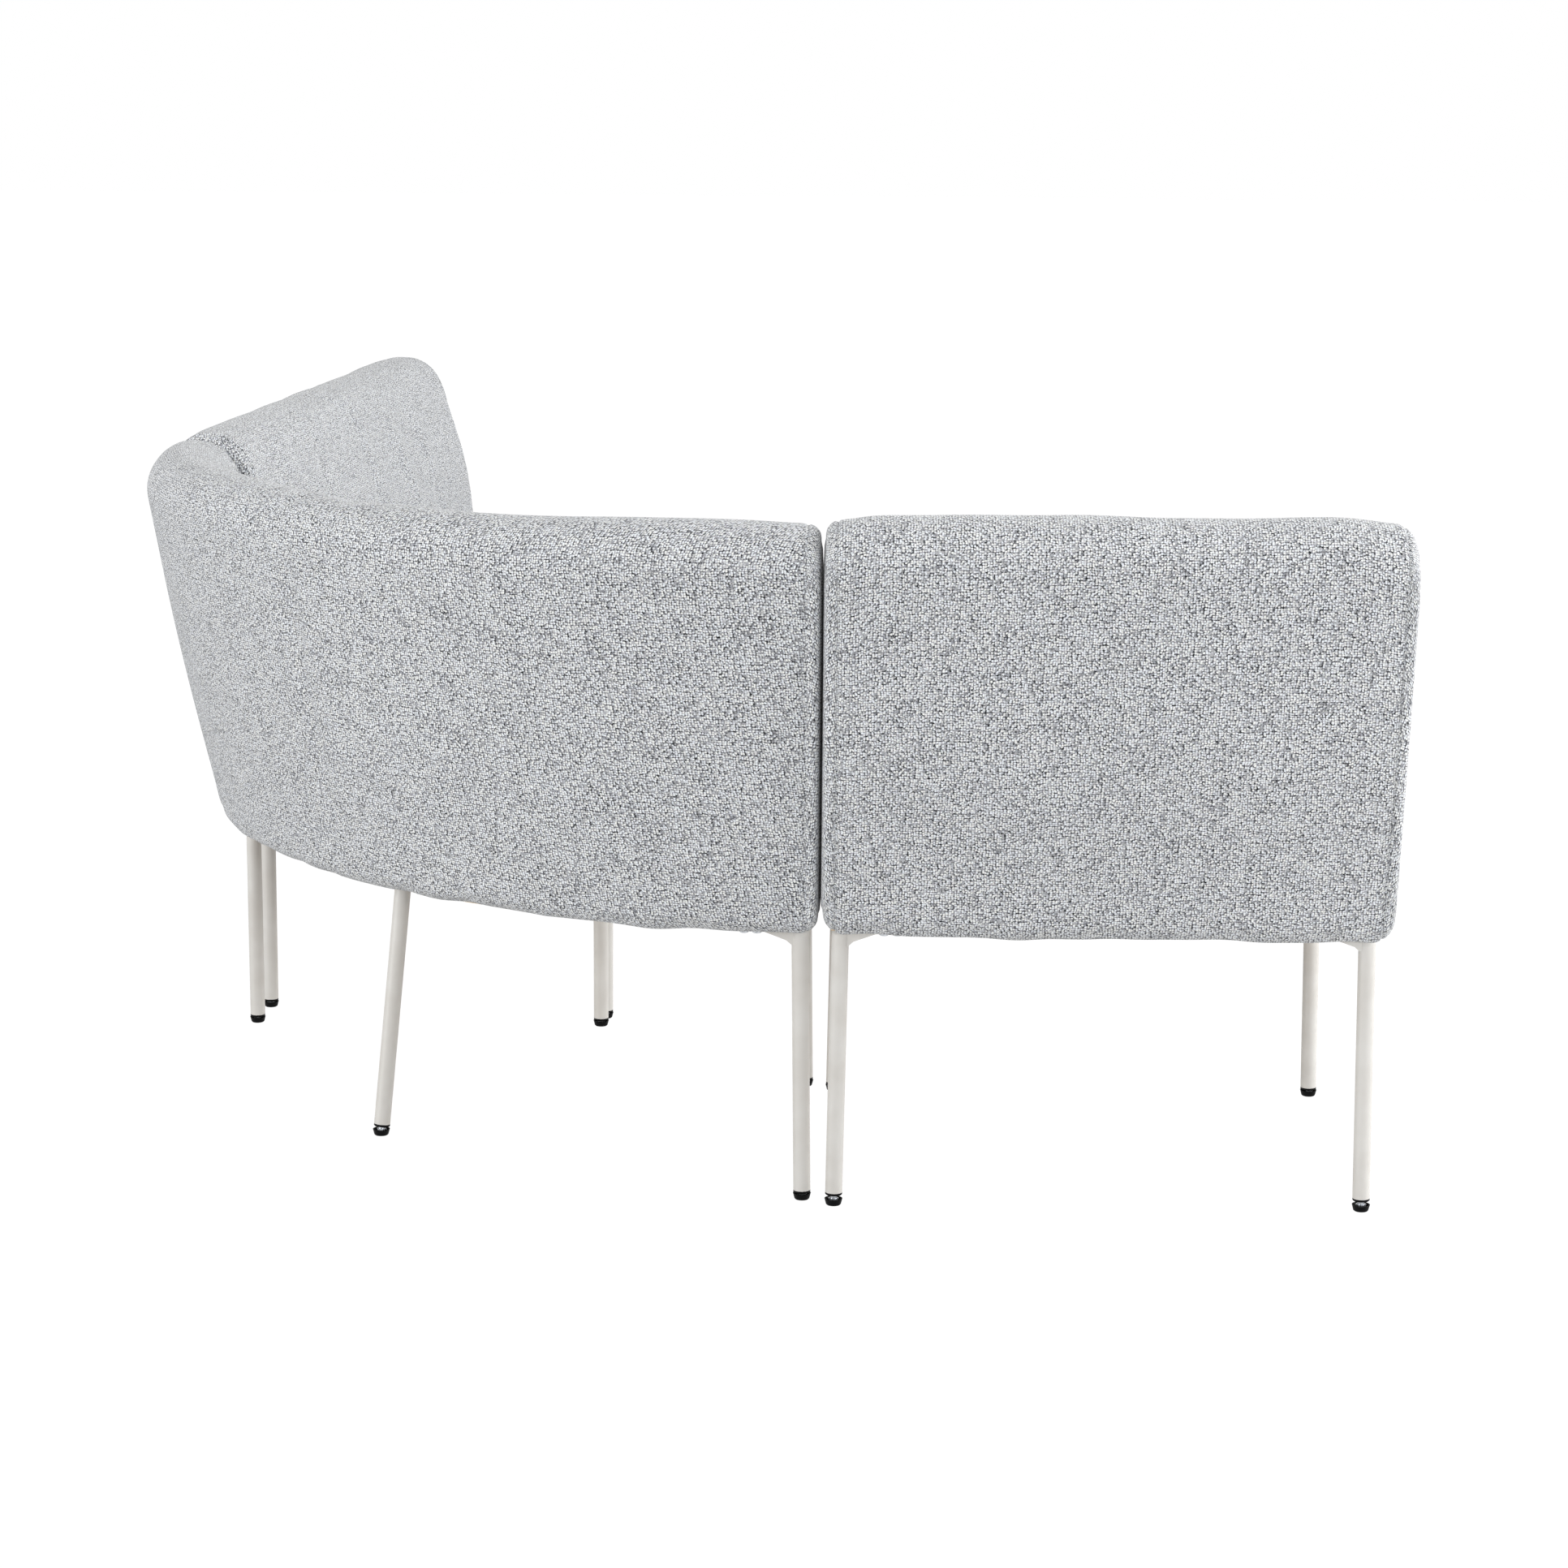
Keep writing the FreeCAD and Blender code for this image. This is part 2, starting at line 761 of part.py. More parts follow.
# The holes of a board: every screw that goes up or down into it
def drill_board(label, blank, screws, module):
    holes = []
    for index, place in enumerate(screws, 1):
        spot = place.Base
        holes.append(part_object(
            "Cylinder", f"{label}_hole_{index}",
            move(spot.x, spot.y, measure(board_underside) - size("cut_overrun") / 2),
            Radius="sizes.screw_radius + sizes.pilot_clearance",
            Height="sizes.board_thickness + sizes.cut_overrun",
        ))
    keep(label, minus(label, blank, compound(label + "_holes", holes)), module)


def drill_core(label, blank, screws, module):
    holes = []
    for index, place in enumerate(screws, 1):
        holes.append(part_object(
            "Cylinder", f"{label}_hole_{index}", place * move(0, 0, -size("cut_overrun") / 2),
            Radius="sizes.screw_radius + sizes.pilot_clearance",
            Height="2 * sizes.cut_overrun",
        ))
    keep(label, minus(label, blank, compound(label + "_holes", holes)), module)


# The pieces that every module shares once its legs, blanks and hollows are known
def finish_module(name, module, board, core, back, seat, hollows, angles, plugs, leg_screws):
    foot_screws = []
    core_screws = []
    for angle in angles:
        places = angle_screw_places()
        foot_screws += [angle * place for place in places[0::2]]
        core_screws += [angle * place for place in places[1::2]]
    drill_board(name + "_seat_board", board, leg_screws + foot_screws, module)
    drill_core(name + "_back_core", core, core_screws, module)
    grouped(name + "_back_angles", angle_pattern, angles, module)
    grouped(name + "_screws", screw_pattern, leg_screws + foot_screws + core_screws, module)
    grouped(name + "_leg_plugs", plug_pattern, plugs, module)
    bed, slot = hollows
    notches = [angle_notch(angle) for angle in angles]
    back_shape = back.cut([bed, slot] + notches)
    keep(name + "_back_pad", shape_of(name + "_back_pad", back_shape), module)
    keep(name + "_seat_pad", shape_of(name + "_seat_pad", seat.cut([bed])), module)


def make_straight_module(name, module, rear_out):
    wide = f"sizes.{name}_width"
    width = measure(wide)
    half = f"({wide} / 2 - sizes.board_end_inset)"
    board = part_object(
        "Box", name + "_board_blank",
        move(-measure(half), -measure(board_rear_radius), measure(board_underside)),
        Length=f"2 * {half}",
        Width=f"{board_rear_radius} - {board_front_radius}",
        Height="sizes.board_thickness",
    )
    core = new_body(name + "_core_blank")
    lean_run = f"({core_height} * tan(sizes.back_lean))"
    thickened(
        core, "panel", "YZ_Plane",
        [
            (f"-{core_outer_radius}", board_top),
            (f"-{core_inner_radius}", board_top),
            (f"-{core_inner_radius} - {lean_run}", f"{board_top} + {core_height}"),
            (f"-{core_outer_radius} - {lean_run}", f"{board_top} + {core_height}"),
        ],
        f"{wide} - 2 * sizes.core_end_inset",
    )
    side = width / 2 - size("leg_end_inset")
    plugs, screws = [], []
    for place, radius, out in (("rear", rear_leg_radius, rear_out), ("front", front_leg_radius, 0)):
        for end, x, direction in (("left", -side, 0), ("right", side, 2 * quarter_turn)):
            foot = move(x, -measure(radius), size("ball_height"))
            plug, leg_screws = make_leg_set(
                f"{name}_{place}_{end}", module, foot, direction, "side_lean", "sizes.ball_height", out)
            plugs.append(plug)
            screws += leg_screws
    spread = width / 2 - size("angle_end_inset")
    angles = [move(x, -measure(core_inner_radius), measure(board_top)) for x in (-spread, spread)]
    back = straight_pad(back_section, size("back_corner_round"), size("back_edge_round"), width)
    seat = straight_pad(seat_section, seat_size("seat_corner_round"), seat_size("seat_edge_round"), width)
    hollows = straight_hollows(width)
    finish_module(name, module, board, core, back, seat, hollows, angles, plugs, screws)


# Places round the corner: the angle runs from the right-hand end plane to the left-hand one
def polar(angle, radius, height):
    return turn(upward, -angle) * move(0, -radius, height)


def quarter_part(name, kind, trim_inset, base_height, outer, inner):
    turned_back = move(0, 0, measure(base_height)) * turn(upward, 2 * quarter_turn)
    solids = []
    for label, sizes_of in (("outer", outer), ("inner", inner)):
        solid = part_object(kind, f"{name}_{label}", turned_back, **sizes_of)
        solid.Angle = quarter_turn
        solids.append(solid)
    ring = minus(name + "_ring", *solids)
    reach = size("back_radius") + size("back_height")
    inset = size(trim_inset)
    block = part_object(
        "Box", name + "_trim", move(-inset - reach, -inset - reach, 0),
        Length="sizes.back_radius + sizes.back_height",
        Width="sizes.back_radius + sizes.back_height",
        Height="sizes.back_radius + sizes.back_height",
    )
    common = doc.addObject("Part::Common", name)
    common.Base = ring
    common.Tool = block
    return common


def make_corner_module(module):
    board = quarter_part(
        "corner_board_blank", "Cylinder", "board_end_inset", board_underside,
        {"Radius": board_rear_radius, "Height": "sizes.board_thickness"},
        {"Radius": board_front_radius, "Height": "sizes.board_thickness"},
    )
    lean_run = f"{core_height} * tan(sizes.back_lean)"
    core = quarter_part(
        "corner_core_blank", "Cone", "core_end_inset", board_top,
        *(
            {"Radius1": radius, "Radius2": f"{radius} + {lean_run}", "Height": core_height}
            for radius in (core_outer_radius, core_inner_radius)
        ),
    )
    inset = size("leg_end_inset")
    ball = size("ball_height")
    bracket_turn = size("corner_bracket_turn")
    plugs, screws = [], []
    for label, x, y, direction in (
        ("rear_right", -inset, -measure(rear_leg_radius), 2 * quarter_turn - bracket_turn),
        ("front_right", -inset, -measure(front_leg_radius), 2 * quarter_turn),
        ("rear_left", -measure(rear_leg_radius), -inset, bracket_turn - quarter_turn),
        ("front_left", -measure(front_leg_radius), -inset, -quarter_turn),
    ):
        plug, leg_screws = make_leg_set(
            "corner_" + label, module, move(x, y, ball), direction, "side_lean", "sizes.ball_height", 0)
        plugs.append(plug)
        screws += leg_screws
    # The middle leg leans out, and its glide is screwed out to the floor
    out = size("middle_glide_out")
    lean = math.radians(size("middle_lean"))
    half_turn = quarter_turn / 2
    foot = polar(half_turn, measure(middle_leg_radius) - out * math.sin(lean), ball + out * math.cos(lean))
    foot = Placement(foot.Base, Rotation())
    rise = "(sizes.ball_height + sizes.middle_glide_out * cos(sizes.middle_lean))"
    plug, leg_screws = make_leg_set(
        "corner_middle", module, foot, half_turn, "middle_lean", rise, out)
    plugs.append(plug)
    screws += leg_screws
    # A flat angle touches the round core with its side edges
    inner = measure(core_inner_radius)
    flat = math.sqrt(inner ** 2 - (size("angle_width") / 2) ** 2) - size("pilot_clearance")
    turns = (half_turn - size("angle_turn"), half_turn, half_turn + size("angle_turn"))
    angles = [polar(angle, flat, measure(board_top)) for angle in turns]
    middle = size("back_radius") - size("back_thickness") / 2
    back = corner_pad(back_section, size("back_corner_round"), size("back_edge_round"), middle)
    seat_middle = (size("seat_front_radius") + middle) / 2
    seat = corner_pad(
        seat_section, seat_size("seat_corner_round"), seat_size("seat_edge_round"), seat_middle)
    finish_module("corner", module, board, core, back, seat, corner_hollows(), angles, plugs, screws)


# The row: the origin is under the middle of the whole bench on the floor
def rear_reach(tilt):
    lean = math.radians(size("back_lean"))
    top = size("back_top_round")
    along_top = (size("back_height") - top - size("hem_height") - math.sin(lean) * top) / math.cos(lean)
    radius = size("back_radius") + along_top * math.sin(lean) - top * math.cos(lean)
    centre = tilt.multVec(Vector(0, -radius, size("back_height") - top))
    return top - centre.y


# The right module's rear glides are screwed out, which tips it forward about its front ones
def right_tilt():
    front = Vector(0, -measure(front_leg_radius), size("ball_height"))
    span = measure(rear_leg_radius) - measure(front_leg_radius)
    degrees = math.degrees(math.atan2(size("right_rear_glide_out"), span))
    return Placement(front, Rotation()) * turn(across_x, -degrees) * Placement(-front, Rotation())


# The left module is turned a little about the front corner of its near end, away from the corner module
def left_turned():
    hinge = move(size("left_step") - size("seat_front_radius"), 0, 0)
    return hinge * turn(upward, -size("left_turn")) * hinge.inverse()


# How far a straight module's far rear corner lies from that hinge, across and along
def left_depth():
    turned = math.radians(size("left_turn"))
    corner = rear_reach(Placement()) - size("back_edge_round") - size("seat_front_radius")
    corner -= size("back_corner_round") * math.tan(math.radians(size("back_lean")))
    return (size("left_width") - size("end_gap")) * math.cos(turned) + corner * math.sin(turned)


reach_left = rear_reach(Placement())
reach_rear = rear_reach(right_tilt()) + size("right_step")
row_end = size("right_width") - size("end_gap")
home = move((reach_left - row_end) / 2, (reach_rear - left_depth()) / 2, 0)
right_place = home * move(size("right_width") / 2, -size("right_step"), 0) * right_tilt()
left_beside = move(size("left_step"), size("left_width") / 2, 0) * turn(upward, -quarter_turn)
left_place = home * left_turned() * left_beside

make_corner_module(home)
make_straight_module("right", right_place, size("right_rear_glide_out"))
make_straight_module("left", left_place, 0)
doc.recompute()
for item, place in kept.values():
    item.Placement = place * item.Placement
doc.recompute()

# Check everything, then write one file for each piece
for item in doc.Objects:
    if "Invalid" in item.State or "Error" in item.State:
        raise RuntimeError(f"{item.Name} failed: {item.State}")
for label, (item, place) in kept.items():
    shape = item.Shape
    if shape.isNull() or not shape.isValid() or not shape.Solids:
        raise RuntimeError(f"{label} has no valid shape")
for label, (item, place) in kept.items():
    item.Shape.exportStep(f"parts/{label}.step")
for label, centre, axis, out in glides:
    numbers = " ".join(f"{value:.4f}" for value in (*centre, *axis, out))
    print("glide", label, numbers)
print("origin moved by", home.Base)
print(len(kept), "pieces written")
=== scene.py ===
# Corner banquette bench: upholstery, finishes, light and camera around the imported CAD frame
import bpy
import json
import math
import numpy as np
from mathutils import Matrix, Vector


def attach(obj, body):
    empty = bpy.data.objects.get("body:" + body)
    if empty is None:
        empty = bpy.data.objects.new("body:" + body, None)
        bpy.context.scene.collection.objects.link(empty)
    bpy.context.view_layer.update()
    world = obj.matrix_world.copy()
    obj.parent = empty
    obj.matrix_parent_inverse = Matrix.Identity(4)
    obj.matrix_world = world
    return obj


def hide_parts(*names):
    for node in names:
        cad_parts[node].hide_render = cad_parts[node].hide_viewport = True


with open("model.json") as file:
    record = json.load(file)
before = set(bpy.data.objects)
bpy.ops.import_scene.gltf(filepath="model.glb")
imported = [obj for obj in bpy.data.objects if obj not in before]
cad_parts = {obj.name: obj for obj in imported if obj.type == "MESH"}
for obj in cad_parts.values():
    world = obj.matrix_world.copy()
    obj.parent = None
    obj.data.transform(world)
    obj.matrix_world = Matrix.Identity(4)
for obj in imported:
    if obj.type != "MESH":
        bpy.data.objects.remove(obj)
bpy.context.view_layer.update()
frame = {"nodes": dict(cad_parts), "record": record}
print("frame loaded:", len(frame["nodes"]), "CAD nodes")

# Places of the modules in metres, as in the CAD: all lengths are measured from the corner's centre
rowPlaces = {
    "cornerCentre": (0.124012, -0.243959),
    "rightWidth": 0.650,
    "leftWidth": 1.350,
    "endGap": 0.00175,
    "rightStep": 0.020,
    "leftStep": 0.002,
    "leftTurnDegrees": 5.0,
    "leftHinge": 0.250,
    # the right module's rear glides stand 4 mm out, 474 mm behind the front ones
    "rightTiltDegrees": math.degrees(math.atan2(0.004, 0.474)),
    "rightTiltPivot": (0.302, 0.0038),
}

# What every cover shares, in metres where it is a length
coverShape = {
    "stripEase": 0.005, "tuckEase": 0.004,          # over how much the cover rolls under and then goes in
    "closest": 0.0003,                              # two places across a pad are never nearer than this
    "seamReach": 2.5, "seamPoints": 11,             # places over the seam, in half widths of its groove
    "endFullness": 0.2,                             # share of the crown that is left at a pad's ends
    "detailEase": 0.02,                             # height over which the seam's groove fades in
    "besidePlace": 2.4, "besideWidth": 1.6,         # the swelling beside a seam, in groove widths
    "besideShare": 0.25,                            # its height, as a share of the groove's depth
    "wanderFade": 0.05, "wanderAcross": 0.16, "wanderUp": 0.22,     # small waves: their sizes, none at the ends
    "hemWanderAcross": 0.09, "hemWanderHeight": 0.03,
    "creaseBend": 0.006, "creaseBendUp": 0.5, "creaseWaves": 3, "creaseFade": (0.04, 0.06),
    "ringShares": (0.08, 0.25, 0.60),               # rings of an end face, from its edge to its middle line
    "ringSwell": (0.0, 0.7, 1.0),                   # how much of the face's swelling each one takes
}


def hexColour(text):
    # sRGB hex to linear: the standard curve, channel by channel
    channels = [int(text[i:i + 2], 16) / 255 for i in (1, 3, 5)]
    return [c / 12.92 if c <= 0.04045 else ((c + 0.055) / 1.055) ** 2.4 for c in channels] + [1.0]


def smoothStep(low, high, value):
    # nought to one between two values: three times the square less twice the cube
    q = np.clip((value - low) / (high - low), 0, 1)
    return q * q * (3 - 2 * q)


def throughKnots(knots, share):
    # a line through knots of (share of the width, rise), each step between two knots a smooth one
    line = np.full(np.shape(share), float(knots[0][1]))
    for (fromShare, fromRise), (toShare, toRise) in zip(knots[:-1], knots[1:]):
        line = line + (toRise - fromRise) * smoothStep(fromShare, toShare, share)
    return line


# Places: along runs across the module's width, radius away from the corner's centre, height up
def placeCorner(along, radius, height):
    # a turn about the corner's centre, along being the angle from the right-hand end
    x = rowPlaces["cornerCentre"][0] - radius * np.sin(along)
    y = rowPlaces["cornerCentre"][1] - radius * np.cos(along)
    return np.stack([x, y, height + 0 * along], -1)


def placeRight(along, radius, height):
    # a straight row whose section is tipped about its front feet
    pivotRadius, pivotHeight = rowPlaces["rightTiltPivot"]
    tilt = math.radians(rowPlaces["rightTiltDegrees"])
    back = pivotRadius - radius
    up = height - pivotHeight
    y = -pivotRadius + back * math.cos(tilt) + up * math.sin(tilt)
    z = pivotHeight - back * math.sin(tilt) + up * math.cos(tilt)
    x = rowPlaces["cornerCentre"][0] + rowPlaces["rightWidth"] / 2 + along
    return np.stack([x + 0 * y, y + rowPlaces["cornerCentre"][1] - rowPlaces["rightStep"] + 0 * x, z + 0 * x], -1)


def placeLeft(along, radius, height):
    # a straight row turned a quarter, then a little more about the front corner of its near end
    turn = math.radians(rowPlaces["leftTurnDegrees"])
    across = rowPlaces["leftHinge"] - radius
    beyond = rowPlaces["leftWidth"] / 2 - along
    hingeX = rowPlaces["cornerCentre"][0] + rowPlaces["leftStep"] - rowPlaces["leftHinge"]
    x = hingeX + across * math.cos(turn) + beyond * math.sin(turn)
    y = rowPlaces["cornerCentre"][1] - across * math.sin(turn) + beyond * math.cos(turn)
    return np.stack([x, y, height + 0 * along], -1)


# Sections: closed loops in radius and height, one row for each place across the pad
def quarterInset(distance, size):
    # how far a rounded edge still lies in, at a distance from the end: a quarter circle
    short = np.maximum(size - distance, 0)
    return size - np.sqrt(np.maximum(size ** 2 - short ** 2, 0))


def arcPoints(centreR, centreZ, radius, start, end, count):
    # points on a circle in even steps from the start angle, up to but without the end angle
    angle = start + (end - start) * np.arange(count) / count
    return centreR + radius * np.cos(angle), centreZ + radius * np.sin(angle)


def facePoints(start, end, out, crown, count):
    # a straight run, pushed out by the crown times the squared sine of a half turn: flat at both ends
    q = np.arange(count) / count
    bulge = crown * np.sin(math.pi * q) ** 2
    r = start[0] + (end[0] - start[0]) * q + out[0] * bulge
    z = start[1] + (end[1] - start[1]) * q + out[1] * bulge
    return r, z


def tuckedUnder(low, endDistance, hemDistance, pad):
    # the cover rolls round the hem, lies against the board's underside and then goes in above it
    shelf = pad["boardUnderside"] - pad["coverThickness"]
    hidden = pad["boardUnderside"] + pad["coverThickness"]
    near = smoothStep(pad["stripWidth"], pad["stripWidth"] + coverShape["stripEase"], endDistance)
    near = near * smoothStep(0, pad["rollWidth"], hemDistance)
    tuckEnd = pad["tuckWidth"] + coverShape["tuckEase"]
    deep = np.minimum(
        smoothStep(pad["tuckWidth"], tuckEnd, endDistance), smoothStep(pad["tuckWidth"], tuckEnd, hemDistance))
    return low + (shelf - low) * near + (hidden - shelf) * deep * near


def backSection(pad, inset, cut, fullness, endDistance, share):
    # a leaning slab: straight faces with crowns, joined by quarter rounds at the hem, the top and the front
    lean = math.radians(pad["leanDegrees"])
    along = (math.sin(lean), math.cos(lean))
    out = (math.cos(lean), -math.sin(lean))
    low = pad["hemHeight"] + quarterInset(endDistance, pad["hemCorner"]) + throughKnots(pad["hemLine"], share)
    # the top line sinks towards both ends: a square curve over the last few centimetres
    sink = pad["topSink"] * np.clip(1 - endDistance / pad["sinkReach"], 0, 1) ** 2
    high = pad["topHeight"] - cut - sink + throughKnots(pad["topLine"], share)
    hemRound, topRound, frontRound = pad["hemRound"], pad["topRound"], pad["frontRound"]
    innerRound = pad["thickness"] - 2 * inset - topRound

    def centreAt(height, depth):
        # the point at a height above the floor and a depth in from the rear face
        up = (height - pad["hemHeight"] + out[1] * depth) / along[1]
        return pad["radius"] + along[0] * up - out[0] * depth, pad["hemHeight"] + along[1] * up - out[1] * depth

    hem = centreAt(low + hemRound, hemRound + inset)
    top = centreAt(high - topRound, topRound + inset)
    inner = (top[0] + along[0] * (topRound - innerRound), top[1] + along[1] * (topRound - innerRound))
    front = centreAt(low + frontRound, pad["thickness"] - inset - frontRound)
    down, outward, upward, inward = -math.pi / 2, -lean, math.pi / 2 - lean, math.pi - lean
    rearLow = (hem[0] + out[0] * hemRound, hem[1] + out[1] * hemRound)
    rearHigh = (top[0] + out[0] * topRound, top[1] + out[1] * topRound)
    frontHigh = (inner[0] - out[0] * innerRound, inner[1] - out[1] * innerRound)
    frontLow = (front[0] - out[0] * frontRound, front[1] - out[1] * frontRound)
    crown = pad["crown"] * fullness
    bottomR, bottomZ = facePoints((front[0], low), (hem[0], low), out, 0, pad["bottomPoints"])
    bottomZ = tuckedUnder(low, endDistance, hem[0] - bottomR, pad)
    runs = [
        (bottomR, bottomZ),
        arcPoints(hem[0], hem[1], hemRound, down, outward, pad["hemPoints"]),
        facePoints(rearLow, rearHigh, out, crown, pad["facePoints"]),
        arcPoints(top[0], top[1], topRound, outward, upward, pad["topPoints"]),
        arcPoints(inner[0], inner[1], innerRound, upward, inward, pad["topPoints"]),
        facePoints(frontHigh, frontLow, (-out[0], -out[1]), crown, pad["facePoints"]),
        arcPoints(front[0], front[1], frontRound, inward, 2 * math.pi + down, pad["hemPoints"]),
    ]
    return np.concatenate([r for r, z in runs], 1), np.concatenate([z for r, z in runs], 1)


def seatSection(pad, inset, cut, fullness, endDistance, share):
    # a low box with a crowned top, its rear face parallel to the back's front face
    lean = math.radians(pad["leanDegrees"])
    along = (math.sin(lean), math.cos(lean))
    out = (math.cos(lean), -math.sin(lean))
    low = pad["hemHeight"] + inset
    high = pad["topHeight"] - pad["crown"] - cut
    frontEdge = pad["frontRadius"] + inset
    hemRound, topRound, rearRound = pad["hemRound"], pad["topRound"], pad["rearRound"]
    rearFoot = (pad["backRadius"] + (low - pad["hemHeight"]) * math.tan(lean)
                - pad["backDepth"] / math.cos(lean) - inset)
    hem = (frontEdge + hemRound, low + hemRound)
    top = (frontEdge + topRound, high - topRound)
    rearUp = (high - rearRound - low + out[1] * rearRound) / along[1]
    rear = (rearFoot + along[0] * rearUp - out[0] * rearRound, low + along[1] * rearUp - out[1] * rearRound)
    down, outward, upward, forward = -math.pi / 2, -lean, math.pi / 2, math.pi
    bottomR, bottomZ = facePoints((hem[0], low), (rearFoot, low), out, 0, pad["bottomPoints"])
    bottomZ = tuckedUnder(low, endDistance, bottomR - hem[0], pad)
    rearHigh = (rear[0] + out[0] * rearRound, rear[1] + out[1] * rearRound)
    runs = [
        (bottomR, bottomZ),
        facePoints((rearFoot, low), rearHigh, out, 0, pad["rearPoints"]),
        arcPoints(rear[0], rear[1], rearRound, outward, upward, pad["hemPoints"]),
        facePoints((rear[0], high), (top[0], high), (0, 1), pad["crown"] * fullness, pad["facePoints"]),
        arcPoints(top[0], top[1], topRound, upward, forward, pad["topPoints"]),
        facePoints((frontEdge, top[1]), (frontEdge, hem[1]), (-1, 0), pad["frontCrown"] * fullness, pad["rearPoints"]),
        arcPoints(hem[0], hem[1], hemRound, forward, 2 * math.pi + down, pad["hemPoints"]),
    ]
    return np.concatenate([r + 0 * z for r, z in runs], 1), np.concatenate([z + 0 * r for r, z in runs], 1)


def stationsAcross(width, pad):
    # places across the pad: close together round the edge and at the seam, even between them
    angles = np.linspace(0, math.pi / 2, pad["edgePoints"])
    edge = max(pad["cornerRounds"]) * (1 - np.cos(angles))
    reach = coverShape["seamReach"]
    seam = pad["seamInset"] + np.linspace(-reach, reach, coverShape["seamPoints"]) * pad["grooveWidth"] / 2
    near = np.unique(np.round(np.concatenate([edge, seam]), 5))
    keep = np.concatenate([[True], np.diff(near) > coverShape["closest"]])
    near = near[keep]
    count = int((width - 2 * near[-1]) / pad["gridStep"])
    middle = np.linspace(near[-1], width - near[-1], count)[1:-1]
    return np.concatenate([near, middle, (width - near)[::-1]])


def softNoise(shape, across, up, seed, scaleAcross, scaleUp, waves=9):
    # a sum of sine waves with drawn directions and phases: smooth, and the same on every run
    draw = np.random.default_rng(seed)
    total = np.zeros(shape)
    for _ in range(waves):
        angle, phase = draw.uniform(0, 2 * math.pi, 2)
        speed = draw.uniform(0.5, 1.5)
        total += np.sin(2 * math.pi * speed * (across * math.cos(angle) / scaleAcross
                                               + up * math.sin(angle) / scaleUp) + phase)
    return total / math.sqrt(waves)


def normalsOf(points):
    # cross product of the differences along the two directions of the grid
    across = np.gradient(points, axis=0)
    around = np.roll(points, -1, 1) - np.roll(points, 1, 1)
    normal = np.cross(across, around)
    normal /= np.maximum(np.linalg.norm(normal, axis=-1, keepdims=True), 1e-12)
    centre = points.mean(1, keepdims=True)
    return normal if (normal * (points - centre)).sum() > 0 else -normal


def blendWeights(fine, coarse):
    # each fine place as a straight mix of its two coarse neighbours
    upper = np.clip(np.searchsorted(coarse, fine), 1, len(coarse) - 1)
    q = (fine - coarse[upper - 1]) / (coarse[upper] - coarse[upper - 1])
    weights = np.zeros((len(fine), len(coarse)))
    weights[np.arange(len(fine)), upper - 1] = 1 - q
    weights[np.arange(len(fine)), upper] = q
    return weights


def gridCorners(rows, columns):
    # row and column of each quad's four corners; the last column joins the first
    i, j = np.meshgrid(np.arange(rows - 1), np.arange(columns), indexing="ij")
    k = (j + 1) % columns
    return [(i, j), (i, k), (i + 1, k), (i + 1, j)]


def gridFaces(rows, columns):
    # the quads of a tube and one face over each of its ends
    quads = np.stack([row * columns + column for row, column in gridCorners(rows, columns)], -1)
    firstEnd = list(range(columns))[::-1]
    lastEnd = list(range((rows - 1) * columns, rows * columns))
    return quads.reshape(-1, 4).tolist() + [firstEnd, lastEnd]


# The covers' cloth: a coarse shell of each pad, blown up a little between its seams
clothSim = {
    "settings": {
        "quality": 5, "mass": 0.3, "tension_stiffness": 15, "compression_stiffness": 15, "shear_stiffness": 5,
        "bending_stiffness": 0.5, "use_pressure": True, "uniform_pressure_force": 4, "shrink_min": -0.004,
        "vertex_group_mass": "sewn",
    },
    "frames": 20, "foamHold": 0.3, "cap": 0.003, "startSmaller": 0.0015,
    "heldBelow": 0.004, "seamTolerance": 0.0004,
    "rowStep": 4, "columnStep": 3, "fewestRows": 12,
}


